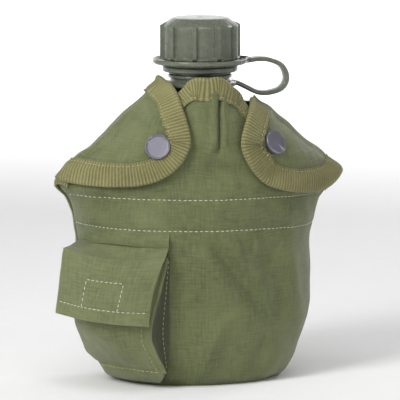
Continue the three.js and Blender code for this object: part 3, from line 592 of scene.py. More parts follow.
def pile_fleece(name, dark, light):
    """Acrylic pile."""
    n = Nodes(name, 0.95, Sheen_Weight=0.4, Sheen_Roughness=0.6)
    where = n.place(False)
    tuft = n.noise(where, 520, 6, rough=0.7)
    clump = n.noise(where, 120, 3)
    base = n.mix(n.math("ADD", n.math("MULTIPLY", tuft, 0.8), n.math("MULTIPLY", clump, 0.3)), dark, light)
    return n.finish(base, n.bump(tuft, 0.9, 0.0012))


NYLON = woven_nylon("woven_nylon", (0.052, 0.064, 0.022), (0.145, 0.168, 0.064), (0.20, 0.22, 0.092))
POCKET_NYLON = woven_nylon("pocket_nylon", (0.068, 0.082, 0.029), (0.170, 0.194, 0.078),
                           (0.215, 0.235, 0.108))
# The gusset's nylon is a much darker copy of the pocket nylon: painted shade for the recessed gusset.
GUSSET_SHADE_NYLON = woven_nylon("gusset_painted_shade_nylon", (0.018, 0.023, 0.009), (0.058, 0.066, 0.028), (0.075, 0.08, 0.04))
# The tapes' dark and light tones are mixed partly by their ribs: painted shade between the ribs, painted
# highlight on them.
BINDING = ribbed_tape("binding_tape", (0.080, 0.075, 0.026), (0.315, 0.295, 0.122))
WEBBING = ribbed_tape("belt_webbing", (0.06, 0.07, 0.03), (0.15, 0.165, 0.075), 0.0014)
PLASTIC = moulded_plastic("canteen_plastic", (0.085, 0.100, 0.068), (0.18, 0.195, 0.145), 0.22)
SNAP = painted_metal("snap_enamel", (0.135, 0.132, 0.160), (0.44, 0.435, 0.46), 0.36, 0.55)
KEEPER = painted_metal("keeper_enamel", (0.022, 0.027, 0.017), (0.20, 0.19, 0.16), 0.42, 0.5)
EYELET = painted_metal("eyelet_enamel", (0.03, 0.034, 0.02), (0.25, 0.2, 0.1), 0.4, 0.6)
THREAD = sewing_thread("seam_thread", (0.24, 0.22, 0.10), (0.5, 0.47, 0.26))
PALE_THREAD = sewing_thread("pale_thread", (0.55, 0.53, 0.42), (0.8, 0.78, 0.68))
FLEECE = pile_fleece("pile_fleece", (0.10, 0.10, 0.05), (0.34, 0.33, 0.2))
RUBBER = moulded_plastic("gasket_rubber", (0.012, 0.012, 0.012), (0.05, 0.05, 0.05), 0.6)
HOOKS = pile_fleece("hook_and_loop", (0.05, 0.06, 0.025), (0.16, 0.18, 0.08))


# ---- Cover: front, back, bottom and lining ------------------------------------------------------------
def seam_relief(x, z, height, seed, strength=1.0):
    """A stitched line pulled into the cloth, with short puckers to both sides."""
    d = z - height
    puckers = noise(np.stack([x, z * 0.22, 0 * x + seed], axis=-1), 5.2, seed)
    return strength * (-0.5 * np.exp(-((d / 0.8) ** 2)) + 0.8 * puckers * np.exp(-np.abs(d) / 5))


def seam_height(x, height):
    """The seams sag a little towards the right."""
    return height - 0.012 * (x + 60) - 1.2 * smooth(x, 20, 70)


def front_relief(p):
    x, z = p[..., 0], p[..., 2]
    relief = 0.4 + 1.2 * noise(p * [1, 1, 0.6], 26, 3) + 0.5 * noise(p * [1, 1, 0.7], 9, 5)
    relief += 0.5 * noise(p * [1, 1, 0.25], 12, 8) * (1 - smooth(z, 10, 60))
    for k, height in enumerate(SEAMS):
        relief += seam_relief(x, z, seam_height(x, height), 11 + k)
    dart = smooth(z, 137, 143) * (1 - smooth(z, 168, 176))
    off = x - lerp(0.3, 3.2, (z - 138) / 32)
    relief += dart * (1.1 * np.exp(-((np.abs(off) - 3) / 2.2) ** 2) - 2.3 * np.exp(-((off / 0.9) ** 2)))
    relief -= 1.5 * np.exp(-((off / 1.9) ** 2 + ((z - 138.5) / 2.6) ** 2))
    relief += 1.6 * np.exp(-(((x + 10) / 5) ** 2 + ((z - 156) / 8) ** 2))
    relief += 1.3 * np.exp(-(((x - 10) / 5) ** 2 + ((z - 152) / 9) ** 2))
    for start, end, width, height in (
        ((-7, 88), (28, 44), 3.4, -2.9), ((0, 91), (35, 50), 4.8, 3.4), ((-15, 84), (17, 42), 6, 2.4),
        ((26, 89), (43, 30), 6.5, -2.1), ((41, 86), (54, 34), 6.0, 2.9), ((12, 87), (16, 74), 1.6, -1.2),
        ((22, 86), (23, 76), 1.5, 0.9), ((-12, 128), (20, 126), 4.5, -1.4), ((-14, 120), (30, 119), 4, 1.1),
        ((-26, 70), (-22, 20), 4.0, -1.5), ((2, 40), (-12, 8), 5.0, 2.2), ((30, 30), (20, 5), 4.0, -1.5),
        ((50, 104), (66, 92), 3.0, 0.8), ((-60, 104), (-74, 92), 3.0, 0.7),
    ):
        relief += fold(x, z, start, end, width, height)
    deepest = lerp(VALLEY, 3.0, smooth(z, 132, 137))
    relief = np.where(relief < 0, -deepest * np.tanh(-relief / deepest), relief)
    return relief * smooth(np.abs(z), -4, 7)


def hem_lift(degrees):
    """The bottom seam doesn't run level: it lifts in shallow waves towards the right corner."""
    x = degrees - 270
    return 1.2 * smooth(x, 10, 45) + 0.9 * np.sin(x * 0.16) * smooth(x, -5, 20) * (1 - smooth(x, 60, 85))


def make_front():
    degrees = np.linspace(180.4, 359.6, 300)[:, None]
    v = np.linspace(0, 1, 200)[None] ** 0.95
    low = np.maximum(0.05, hem_lift(degrees))
    z = low + (front_top(degrees) - low) * v
    gap = -TUCK * tuck(z)
    relief = front_relief(skin(degrees, z, gap))
    relief = relief * smooth(degrees, 180, 184) * (1 - smooth(degrees, 356, 360))
    outer = skin(degrees, z, gap + relief)
    piece = cloth_piece("front_cloth", outer, NYLON)
    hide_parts("front_panel")
    declare_sheet(outer)
    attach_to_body(piece, "root")
    return outer


def make_back():
    u = np.linspace(0, 1, 240)[:, None]
    v = np.linspace(0, 1, 150)[None]
    z = 0.05 + back_top(-10 + 200 * u) * v
    reach = overhang(z, -1.0)
    degrees = lerp(0.4 - reach, 179.6 + reach, u)
    base = skin(degrees, z)
    relief = 0.7 * noise(base * [1, 1, 0.6], 24, 21) + 0.25 * noise(base, 8, 22)
    pad = smooth(np.abs(base[..., 0]), 46, 42) * smooth(z, 55, 62) * (1 - smooth(z, 140, 150))
    relief = np.minimum(relief, 0.8) * (1 - pad) * smooth(z, 0, 8)
    outer = skin(degrees, z, relief)
    piece = cloth_piece("back_cloth", outer, NYLON)
    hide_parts("back_panel")
    declare_sheet(outer)
    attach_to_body(piece, "root")


def declare_sheet(outer):
    uv = arc_uv(outer)
    width = np.ptp(uv[..., 0], axis=0).max() * MM
    length = uv[..., 1].max() * MM
    a, b, c, d = outer[:-1, :-1], outer[1:, :-1], outer[1:, 1:], outer[:-1, 1:]
    area = 0.5 * np.linalg.norm(np.cross(c - a, d - b), axis=-1).sum() * MM * MM
    area = min(max(area, 0.31 * width * length), width * length)


def make_side_seams():
    """A narrow welt covers the seam between front and back on each side."""
    z = np.linspace(1, 116, 120)
    for name, degrees in (("left", 180.0), ("right", 360.0)):
        centre = skin(degrees + 0 * z, z, 0.5 + 0.25 * noise(np.stack([z, z * 0, z * 0], -1), 7, 31))
        across = skin(degrees + 1 + 0 * z, z) - skin(degrees - 1 + 0 * z, z)
        across /= np.linalg.norm(across, axis=1, keepdims=True)
        width = 4.2
        piece = sweep_strip(f"{name}_side_seam", centre, across, width, 1.5, NYLON)
        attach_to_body(piece, "root")


def make_bottom():
    """The oval bottom cloth, with its drain hole's edge under the eyelet."""
    low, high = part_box("drain_eyelet")
    centre_y = (low.y + high.y) / 2 / MM
    theta = np.linspace(0, 2 * np.pi, 160, endpoint=False)[:, None]
    rim = section(theta, 0.6 + 0 * theta)
    t = np.linspace(0, 1, 40)[None, :, None]
    hole = np.stack([4.6 * np.cos(theta), centre_y + 4.6 * np.sin(theta), 0 * theta], axis=-1)
    outline = rim * [1, 1, 0] + 0
    centre = np.array([0, widest_y(0.6), 0])
    reach = np.linalg.norm(outline - centre, axis=-1, keepdims=True)
    outline = centre + (outline - centre) * (1 - 1.4 / reach)
    grid = hole + (outline - hole) * t
    swell = 0.55 * noise(grid, 15, 41) * np.sin(np.pi * t[..., 0]) ** 0.6
    top = grid + [0, 0, 1.0]
    bottom = grid + np.stack([0 * swell, 0 * swell, 0.35 + 0.3 * np.abs(swell)], axis=-1)
    loops = np.concatenate([bottom, top[:, ::-1]], axis=1)
    piece = loft_piece("bottom_cloth", loops, NYLON, uv=loops[..., :2], closed=True)
    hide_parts("bottom_panel")
    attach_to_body(piece, "root")
    profile = rounded([[3.1, 0.05], [7, 0.05], [7, 0.5], [4.3, 0.6], [4.3, 3.1], [3.1, 3.1]], 0.35)
    ring = lathe_piece("drain_eyelet_rolled", profile, EYELET, 48,
                       (np.eye(3), np.array([0, centre_y, 0])))
    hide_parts("drain_eyelet")
    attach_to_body(ring, "root")


def make_lining():
    for name, node, angles, top in (
        ("front_lining_pile", "front_lining", (186, 354), front_top),
        ("back_lining_pile", "back_lining", (6, 174), back_top),
    ):
        degrees = np.linspace(*angles, 150)[:, None]
        z = lerp(4, top(degrees) - 14, np.linspace(0, 1, 110)[None])
        inside = -3.0 - (TUCK * tuck(z) if node == "front_lining" else 0)
        base = skin(degrees, z, inside)
        outer = skin(degrees, z, inside + 0.0 * z)
        tufts = 0.35 * noise(base, 2.2, 51) + 0.2 * noise(base, 1.1, 52)
        piece = cloth_piece(name, outer, FLEECE, thickness=1.3 + tufts[..., None])
        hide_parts(node)
        declare_sheet(outer)
        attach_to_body(piece, "root")
    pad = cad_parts["bottom_lining"]
    pad.data.materials.clear()
    pad.data.materials.append(FLEECE)


# ---- Binding tape -------------------------------------------------------------------------------------
def tape_piece(name, edge, inward_side, base_gap, width=TAPE_WIDTH, seed=1, gathered_at=None):
    """Folded tape along an edge on the cover's form.

    edge is an array of (x, z) in the front view. base_gap(degrees, z) is the height of the cloth that it
    binds, above the form. Returns the tape's loops and the line and normals where its stitches run.
    """
    edge = np.asarray(edge, float)
    degrees = angle_at_x(edge[:, 0], edge[:, 1])
    on_edge = skin(degrees, edge[:, 1], base_gap(degrees, edge[:, 1]))
    normal = skin(degrees, edge[:, 1], 1.0) - skin(degrees, edge[:, 1], 0.0)
    along = np.gradient(on_edge, axis=0)
    along /= np.linalg.norm(along, axis=1, keepdims=True)
    inward = np.cross(normal, along) * inward_side
    inward /= np.linalg.norm(inward, axis=1, keepdims=True)
    reach = np.concatenate([[0], np.cumsum(np.linalg.norm(np.diff(on_edge, axis=0), axis=1))])
    ruffle = 0.4 * noise(np.stack([reach, 0 * reach, 0 * reach + seed], -1), 6.5, seed)
    if gathered_at is not None:
        near = np.exp(-(((reach - reach[-1] * gathered_at) / 13) ** 2))
        ruffle = ruffle + near * (0.9 * np.sin(reach * 1.05) + 0.6 * np.sin(reach * 0.47 + 1))
    rib = 0.24 * np.cos(2 * np.pi * reach / RIB)

    def at(w, lift):
        """Points at a distance inside the edge, on the form's surface and lifted off it."""
        a, z = walk(degrees, edge[:, 1], inward, np.asarray(w) + 0 * reach)
        return skin(a, z, base_gap(a, z) + lift)

    upper = TAPE + 0.35
    lower = -CLOTH - TAPE - 0.35
    middle = (upper + lower) / 2
    tall = (upper - lower) / 2
    rows = []
    for w in np.linspace(width, 1.0, 14):
        press = -0.45 * np.exp(-(((width - w) - 1.6) / 0.7) ** 2)
        swell = ruffle * smooth(w, width - 5, width)
        rows.append(at(w + ruffle * smooth(w, width - 4, width),
                       upper + press + rib * smooth(w, 0.5, 2) + np.abs(swell) * 0.6))
    for a in np.linspace(70, -70, 9):
        rows.append(at(1.0 - 2.0 * math.cos(math.radians(a)),
                       middle + tall * math.sin(math.radians(a)) + rib * 0.6))
    for w in np.linspace(1.0, width, 6):
        rows.append(at(w, lower))
    loops = np.stack(rows, axis=1)
    across = np.concatenate([[0], np.cumsum(np.linalg.norm(np.diff(loops[len(loops) // 2], axis=0), axis=1))])
    threads = np.stack([reach[:, None] + 0 * across[None], across[None] + 0 * reach[:, None]], axis=-1)
    piece = loft_piece(name, loops, BINDING, uv=threads, sharp=55)
    seam_line = at(width - 1.6 + ruffle, upper - 0.3)
    return piece, (seam_line[3:-3], normal[3:-3])


def hinged(side):
    """Bakes a flap's piece in place; the fold that joins it to the cover's back is worked out but not used.
    """
    start, end = NECK_FOLD * [side, 1, 1], WING_FOLD * [side, 1, 1]
    along = (end - start) / np.linalg.norm(end - start)
    forward = np.array([0.0, -1.0, 0.0])
    forward -= forward.dot(along) * along
    forward /= np.linalg.norm(forward)

    def attach(piece):
        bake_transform(piece)
        return piece

    return attach


# ---- Shoulder flaps -----------------------------------------------------------------------------------
FLAP_EDGES = {
    -1: [(-24.5, 178.6), (-22.2, 174), (-20.8, 166), (-18.8, 155.5), (-17.8, 147), (-18.6, 141.3),
         (-23.3, 132.8), (-32.4, 124.6), (-44.7, 120.2), (-58, 119), (-69, 119.2),
         (-77.5, 119.8), (-84.8, 120.3)],
    1: [(27.5, 166), (22.5, 160), (17.5, 152), (14.8, 145.8), (14.3, 140), (16.7, 133.5), (22.5, 124.8),
        (28.5, 119), (37, 115.5), (48.3, 113), (59.7, 112.3), (68, 113), (77, 115.6), (85.5, 119.2)],
}


def flap_gap(degrees, z):
    """Height of the flap's outer face above the form: over the back at the fold, in its place in front."""
    past = np.where(degrees < 270, degrees - 180, 360 - degrees) - overhang(np.maximum(z, 114))
    resting = 2.6 - 3.8 * tuck(z) + CLOTH
    return lerp(1.5, resting, smooth(past, 1, 14))


def flap_relief(side, points, t, s):
    x, z = points[..., 0] * side, points[..., 2]
    relief = 1.7 * np.sin(np.pi * np.clip((t - 0.05) / 0.85, 0, 1)) ** 1.2 * smooth(s, 0.02, 0.2)
    relief *= 1 - smooth(s, 0.75, 0.97)
    away = np.hypot(x - SNAP_X, z - SNAP_Z)
    relief -= 1.9 * np.exp(-((away / 10.5) ** 2))
    relief += 0.9 * noise(points, 15, 61 + side) + 0.35 * noise(points, 6, 63 + side)
    angle = np.arctan2(z - SNAP_Z, x - SNAP_X)
    rays = np.stack([np.cos(angle) * 2.4, np.sin(angle) * 2.4, 0 * angle + side], axis=-1)
    relief += 1.0 * noise(rays, 1.0, 65) * np.exp(-(((away - 13) / 8) ** 2))
    relief += 0.8 * np.exp(-(((t - 0.13) / 0.05) ** 2)) - 0.5 * np.exp(-(((t - 0.22) / 0.05) ** 2))
    return relief


def make_flap(side, name):
    columns, rows = 150, 70
    edge = spline(FLAP_EDGES[side], columns)
    s = np.linspace(0, 1, columns)
    edge_angle = angle_at_x(edge[:, 0], edge[:, 1])
    start_z = lerp(edge[0, 1] - 0.5, 120.5, s**0.9)
    past = overhang(start_z, -3.5)
    start_angle = 180 + past if side < 0 else 360 - past
    t = np.linspace(0, 1, rows)[None]
    degrees = lerp(start_angle[:, None], edge_angle[:, None], t)
    z = lerp(start_z[:, None], edge[:, 1:2], t)
    gap = flap_gap(degrees, z)
    base = skin(degrees, z, gap)
    to_edge = np.linalg.norm(base[:, :, None, ::2] - edge[None, None, ::2], axis=-1).min(axis=2)
    relief = flap_relief(side, base, t, s[:, None]) * smooth(to_edge, 7, 17)
    outer = skin(degrees, z, gap + relief)
    if side > 0:
        outer, degrees, z = outer[::-1], degrees[::-1], z[::-1]
    threads = np.stack([np.radians(degrees) * 52, z], axis=-1)
    piece = cloth_piece(f"{name}_flap_cloth", outer, NYLON, uv=threads)
    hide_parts(f"{name}_flap")
    declare_sheet(outer)
    attach = hinged(side)
    attach(piece)
    fine = spline(FLAP_EDGES[side], 620)
    nose = np.linalg.norm(fine - [side * 17.5, 137.5], axis=1).argmin() / len(fine)
    binding, run = tape_piece(f"{name}_flap_binding", fine, side, flap_gap, seed=3 + side, gathered_at=nose)
    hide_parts(f"{name}_flap_tape")
    attach(binding)
    stitch_piece(f"{name}_flap_stitches", [run], THREAD, attach)


def snap_place(side):
    degrees = angle_at_x(side * SNAP_X, SNAP_Z)
    point = skin(degrees, SNAP_Z)
    normal = skin(degrees, SNAP_Z, 1.0) - point
    turn = Vector((0, 0, 1)).rotation_difference(Vector(normal)).to_matrix()
    return np.array(turn), point


def make_snaps():
    cap = [[0, 1.9], [5.9, 1.85], [6.4, 1.95], [6.8, 2.3], [7.2, 2.25], [7.5, 1.7], [7.4, 0.3], [7.0, -0.6],
           [1.9, -0.6], [1.9, -1.7], [0, -1.7]]
    for side, name in ((-1, "left"), (1, "right")):
        place = snap_place(side)
        piece = lathe_piece(f"{name}_snap_button", rounded(cap, 0.5), SNAP, 64, place)
        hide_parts(f"{name}_snap_cap")
        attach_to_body(piece, f"{name}_flap")
        for part in ("socket", "stud", "eyelet"):
            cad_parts[f"{name}_snap_{part}"].data.materials.clear()
            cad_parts[f"{name}_snap_{part}"].data.materials.append(SNAP)


def make_collar():
    degrees = np.linspace(208, 329, 420)
    top = front_top(degrees) - 0.4 + 0.35 * np.sin(degrees * 0.21)
    edge = skin(degrees, top)[:, [0, 2]]
    piece, run = tape_piece("collar_binding", edge, -1, lambda a, z: 0.5 - TUCK * tuck(z), 11.8, seed=9)
    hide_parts("collar_tape")
    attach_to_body(piece, "root")
    stitch_piece("collar_stitches", [run], THREAD, riding("root"))


def make_corner_bindings():
    """The bound ends of the front panel's upper edge, which peep out below the wings."""
    for name, degrees, low, high in (("left", (180.5, 187), 116.4, 121), ("right", (351, 359.5), 109, 119)):
        u = np.linspace(0, 1, 40)[:, None]
        t = np.linspace(0, 1, 16)[None]
        angle = lerp(*degrees, u) + 0 * t
        z = lerp(low + 1.5 * np.sin(u * 3.1), high, t)
        lift = 0.9 + 0.2 * np.cos(2 * np.pi * u * 8) + 0.5 * (1 - smooth(t, 0, 0.25))
        outer = skin(angle, z, lift)
        threads = np.stack([u * 14 + 0 * t, t * 9 + 0 * u], axis=-1)
        piece = cloth_piece(f"{name}_corner_binding", outer, BINDING, thickness=0.9, uv=threads)
        declare_sheet(outer)
        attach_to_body(piece, "root")


def make_seam_stitches(front):
    """Rows of thread along the two seams across the front, set on the finished cloth."""
    runs = []
    normals = grid_normals(front)
    for height in SEAMS:
        rows = [np.argmin(np.abs(column[:, 2] - seam_height(column[:, 0], height))) for column in front]
        keep = [i for i in range(6, len(front) - 6) if rows[i] < front.shape[1] - 2]
        line = np.array([front[i, rows[i]] for i in keep])
        line[:, 2] = seam_height(line[:, 0], height)
        runs.append((line, np.array([normals[i, rows[i]] for i in keep])))
    stitch_piece("front_seam_stitches", runs, PALE_THREAD, riding("root"), radius=0.2)


# ---- Tablet pocket ------------------------------------------------------------------------------------
BAG_LOW, BAG_HIGH = 9.5, 78.0
bag_left_x = curve([[9, -61.5], [18, -70], [25, -73], [38, -78], [60, -81], [80, -81.5]])
bag_left_y = curve([[9, -7], [18, -3.5], [25, -4.5], [38, -7.5], [60, -8.5], [80, -8]])
bag_right_x = curve([[9, -34], [22, -40], [33, -44], [60, -38], [80, -33]])
bag_right_y = curve([[9, -42.5], [22, -46], [33, -47.5], [60, -46], [80, -43.5]])
bag_bulge = curve([[9, 3], [25, 8], [45, 10], [60, 7], [80, 2.5]])
POCKET_X = -30.0
NEAR_COLUMNS, FACE_COLUMNS = 9, 60  # of the bag's grid: before its left edge, and across its face


def bag_line(z, low=1.2):
    """The bag's section at a height: panel, left edge, swelling front, right edge, panel."""
    left = np.array([bag_left_x(z), bag_left_y(z)])
    right = np.array([bag_right_x(z), bag_right_y(z)])
    chord = right - left
    out = np.array([chord[1], -chord[0]]) / np.linalg.norm(chord)
    s = np.linspace(0, 1, FACE_COLUMNS)[:, None]
    face = left + chord * s + out * bag_bulge(z) * (4 * s * (1 - s)) ** 0.8
    start = skin(187.0, z, low)[:2]
    end = skin(angle_at_x(POCKET_X, z), z, low)[:2]
    near = np.linspace(0, 1, NEAR_COLUMNS, endpoint=False)[:, None]
    return np.concatenate([lerp(start, left, near), face, lerp(right, end, np.linspace(0, 1, 10)[1:, None])])


def flap_point(s, v, d=0.0):
    """A point of the pocket flap: s from left to right, v from its fold down to its hem, d outwards."""
    z = lerp(lerp(80.5, 77, s) - 12 * s * (1 - s), lerp(43.5, 40, s), v)
    x = lerp(lerp(-85.5, -35, s), lerp(-89.5, -46, s), v)
    y = lerp(lerp(-12, -48, s), lerp(-13, -53, s), v)
    bulge = lerp(3, 10.5, np.maximum(v, 0) ** 0.6) * 4 * s * (1 - s) + d
    return np.stack(np.broadcast_arrays(x - 0.58 * bulge, y - 0.81 * bulge, z), axis=-1)


def make_pocket():
    heights = np.linspace(BAG_LOW, BAG_HIGH, 90)
    lines = np.stack([bag_line(z) for z in heights], axis=1)
    grid = np.concatenate([lines, np.broadcast_to(heights[None, :, None], lines.shape[:2] + (1,))], axis=2)
    below = []
    floor_line = np.concatenate([bag_line(BAG_LOW), np.full((len(lines), 1), BAG_LOW)], axis=1)
    degrees = np.linspace(187.0, angle_at_x(POCKET_X, 3.0), len(lines))
    wall = skin(degrees, 3.0 + 0 * degrees, 0.7)
    for q in np.linspace(0.92, 0.12, 7):
        row = lerp(wall, floor_line, q)
        row[:, 2] = lerp(2.8, BAG_LOW, q**2)
        below.append(row)
    grid = np.concatenate([np.stack(below[::-1], axis=1), grid], axis=1)
    normal = grid_normals(grid)
    x, z = grid[..., 0], grid[..., 2]
    relief = 0.7 * noise(grid * [1, 1, 0.7], 13, 71) + 0.25 * noise(grid, 5, 72)
    relief += fold(x, z, (-70, 36), (-50, 14), 4, 1.0) + fold(x, z, (-62, 33), (-44, 18), 3, -0.8)
    relief += 0.4 * noise(grid * [1, 1, 0.25], 4, 74) * np.exp(-np.abs(z - 13) / 4)
    relief -= 0.5 * np.exp(-(((z - 12.5) / 0.7) ** 2))
    ends = np.linspace(0, 1, grid.shape[0])[:, None]
    relief = relief * smooth(ends, 0.02, 0.12) * (1 - smooth(ends, 0.9, 0.99))
    outer = grid + normal * (0.55 + relief)[..., None]
    right = NEAR_COLUMNS + FACE_COLUMNS - 1
    piece = cloth_piece("pocket_cloth", outer[:right + 1], POCKET_NYLON, thickness=1.1)
    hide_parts("pocket_bag")
    declare_sheet(outer[:right + 1])
    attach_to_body(piece, "root")
    side = outer[right:]
    across = np.linspace(0, 1, len(side))[:, None, None]
    side = resample_columns(side - normal[right:] * 1.6 * np.sin(np.pi * across), 24)
    # The gusset wears the darkened nylon: the shade in its recess is painted into its colour.
    gusset = cloth_piece("pocket_gusset_cloth", side, GUSSET_SHADE_NYLON, thickness=1.0)
    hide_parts("pocket_bag")
    declare_sheet(side)
    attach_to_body(gusset, "root")
    columns = slice(26, 47)
    low, high = np.searchsorted(outer[30, :, 2], (44, 61))
    field = (outer + normal * 0.85)[columns, low:high]
    loops = cloth_piece("pocket_loop_field", field, HOOKS, thickness=0.8)
    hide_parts("pocket_loop_patch")
    declare_sheet(field)
    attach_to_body(loops, "root")

    edge_column = outer[right]
    edge_normal = normal[right - 6]
    welt = sweep_strip("pocket_edge_welt", edge_column[8:], np.gradient(outer, axis=0)[right - 4, 8:]
                       / np.linalg.norm(np.gradient(outer, axis=0)[right - 4, 8:], axis=1, keepdims=True),
                       2.6, 1.3, POCKET_NYLON)
    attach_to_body(welt, "root")
    bottom_row = 9
    runs = [(outer[12:66, bottom_row], normal[12:66, bottom_row]),
            (outer[right - 4, 10:-4], edge_normal[10:-4])]
    stitch_piece("pocket_stitches", runs, THREAD, riding("root"))
    gusset = [(outer[74, 10:-2], normal[74, 10:-2])]
    stitch_piece("pocket_gusset_stitches", gusset, THREAD, riding("root"), radius=0.22)
    make_pocket_header()
    make_pocket_flap()


def make_pocket_header():
    """The strip sewn over the pocket's top, and the shelf that carries the flap."""
    u = np.linspace(0, 1, 110)[:, None]
    t = np.linspace(0, 1, 14)[None]
    z = lerp(84.0 - 0.5 * np.sin(u * 9), 92.0, t)
    degrees = lerp(188.0, angle_at_x(POCKET_X + 0 * z, z), u)
    lift = 1.9 + 0.4 * noise(skin(degrees, z), 7, 75)
    outer = skin(degrees, z, lerp(1.35 * lift, 0.3, smooth(t, 0.1, 1)))
    piece = cloth_piece("pocket_header_strip", outer, NYLON, thickness=1.0)
    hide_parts("pocket_header")
    declare_sheet(outer)
    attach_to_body(piece, "root")
    body = skin(lerp(188.0, angle_at_x(POCKET_X, 82.0), u), 83.2 + 0 * u, 0.9)
    edge = flap_point(u, 0 * u, -0.4) + [0, 0, 0.3]
    t = np.linspace(0, 1, 22)[None, :, None]
    shelf = lerp(body, edge, t)
    sag = 1.1 * np.sin(np.pi * t[..., 0]) * (0.6 + 0.5 * noise(shelf, 9, 76))
    shelf[..., 2] -= sag
    piece = cloth_piece("pocket_shelf_cloth", shelf, POCKET_NYLON, thickness=1.0)
    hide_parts("pocket_shelf")
    declare_sheet(shelf)
    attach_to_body(piece, "root")
    zigzag = np.array([shelf[i, 5 + 5 * (k % 2)] for k, i in enumerate(range(60, 108, 3))])
    stitch_piece("pocket_bar_tack", [(zigzag, np.tile([0.0, -0.3, 1.0], (len(zigzag), 1)))], PALE_THREAD,
                 riding("root"), pitch=2.2)


def make_pocket_flap():
    s = np.linspace(0, 1, 130)[:, None]
    v = np.linspace(1, -0.03, 90)[None]
    base = flap_point(s, v)
    normal = grid_normals(base)
    relief = 0.9 * noise(base, 19, 81) + 0.3 * noise(base, 6, 82)
    relief += 1.0 * np.exp(-(((s - 0.02) / 0.05) ** 2)) - 0.5 * np.exp(-(((s - 0.16) / 0.05) ** 2))
    relief -= 0.45 * np.exp(-(((v - 0.8) / 0.016) ** 2)) * smooth(s, 0.02, 0.06)
    for line in (0.30, 0.68):
        reach = smooth(v, 0.33, 0.37) * (1 - smooth(v, 0.8, 0.84))
        relief -= 0.3 * np.exp(-(((s - line) / 0.01) ** 2)) * reach
    relief -= 0.3 * np.exp(-(((v - 0.35) / 0.012) ** 2)) * smooth(s, 0.28, 0.31) * (1 - smooth(s, 0.67, 0.7))
    relief += 0.55 * np.exp(-(((s - 0.49) / 0.17) ** 4)) * np.exp(-(((v - 0.57) / 0.19) ** 4))
    relief *= smooth(v, -0.03, 0.1)
    outer = base + normal * (CLOTH + relief)[..., None]
    pull = 2.2 * smooth(s, 0.8, 1.0) * np.sin(np.pi * np.clip(v, 0, 1)) ** 0.8
    outer[..., 0] -= pull * 0.8
    outer[..., 1] += pull * 0.57
    piece = cloth_piece("pocket_flap_cloth", outer, POCKET_NYLON, thickness=1.3)
    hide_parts("pocket_flap")
    declare_sheet(outer)

    def attach(made):
        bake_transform(made)
        return made

    attach(piece)
    out_normal = grid_normals(outer)
    columns, rows = outer.shape[:2]

    def run(i, j):
        return outer[i, j], out_normal[i, j]

    hem = int(rows * 0.194)
    box_top, box_left, box_right = int(rows * 0.631), int(columns * 0.30), int(columns * 0.68)
    runs = [run(slice(4, columns - 4), hem), run(slice(box_left, box_right), box_top),
            run(box_left, slice(hem, box_top)), run(box_right, slice(hem, box_top))]
    stitch_piece("pocket_flap_stitches", runs, PALE_THREAD, attach, radius=0.2)
    away = np.linspace(0, 1, 14)[:, None, None]
    strip = outer[-14:, 1:-8] - out_normal[-14:, 1:-8] * (2.2 + 1.0 * away)
    strip = strip + np.array([0.9, 0.2, -0.4]) * away
    fold_in = cloth_piece("pocket_flap_turned_edge", strip, POCKET_NYLON, thickness=1.0)
    declare_sheet(strip)
    attach(fold_in)
    field = outer[box_left + 3:box_right - 3, 4:box_top - 3] - out_normal[box_left + 3:box_right - 3,
                                                                          4:box_top - 3] * 1.4
    hooks = cloth_piece("pocket_hook_field", field, HOOKS, thickness=0.9)
    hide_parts("pocket_hook_patch")
    declare_sheet(field)
    attach(hooks)


# ---- Bottle, cap and strap ----------------------------------------------------------------------------
def make_bottle():
    """The blown bottle: its hidden body follows the cover, and the neck with its collar and thread shows."""
    z = np.concatenate([np.linspace(4, 20, 9), np.linspace(24, 120, 20), np.linspace(124, 170, 24)])
    theta = np.linspace(0, 2 * np.pi, 128, endpoint=False)[:, None]
    cover = section(theta, z[None])
    centre = np.stack([0 * z, widest_y(z), z], axis=-1)[None]
    out = cover - centre
    radius = np.linalg.norm(out, axis=-1, keepdims=True)
    slim = (5.2 + 4.2 * tuck(z) + 4 * (1 - smooth(z, 4, 14)))[None, :, None]
    body = centre + out * (1 - slim / radius)
    squeeze = smooth(z, 140, 171)[None, :, None]
    round_neck = np.stack(np.broadcast_arrays(NECK_R * np.cos(theta), NECK_R * np.sin(theta), z[None]), -1)
    body = lerp(body, round_neck, squeeze)
    wall = lerp(1.8, NECK_R - BORE_R, smooth(z, 150, 171))[None, :, None]
    middle = lerp(centre, np.stack([0 * z, 0 * z, z], axis=-1)[None], squeeze)
    inner = middle + (body - middle) * (1 - wall / np.linalg.norm(body - middle, axis=-1, keepdims=True))
    inner[:, 0, 2] = 6.0
    neck_rows = [(17.5, 172), (17.5, 177.4), (18.7, 177.9), (18.9, 178.6), (18.7, 179.4), (17.5, 180),
                 (17.5, 207.2),
                 (17.2, 207.8), (16.4, 207.9), (15.2, 207.9), (14.6, 207.5), (14.5, 206.5), (14.5, 172)]
    rows = np.array(neck_rows)
    neck = np.stack(np.broadcast_arrays(rows[None, :, 0] * np.cos(theta), rows[None, :, 0] * np.sin(theta),
                                        rows[None, :, 1]), -1)
    column = np.concatenate([body, neck, inner[:, ::-1]], axis=1)
    count, rows = column.shape[:2]
    faces = [list(f) for f in grid_faces(count, rows, wrap=True)]
    faces.append([i * rows for i in range(count)])
    faces.append([i * rows + rows - 1 for i in range(count)][::-1])
    piece = make_piece("bottle_blown", column.reshape(-1, 3), faces, PLASTIC)
    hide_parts("bottle_shell")
    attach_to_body(piece, "root")
    thread_piece("neck_thread", [(NECK_R - 0.3, -1.3), (19.05, -0.55), (19.05, 0.55), (NECK_R - 0.3, 1.3)],
                 194, 1.25, 0, "root")


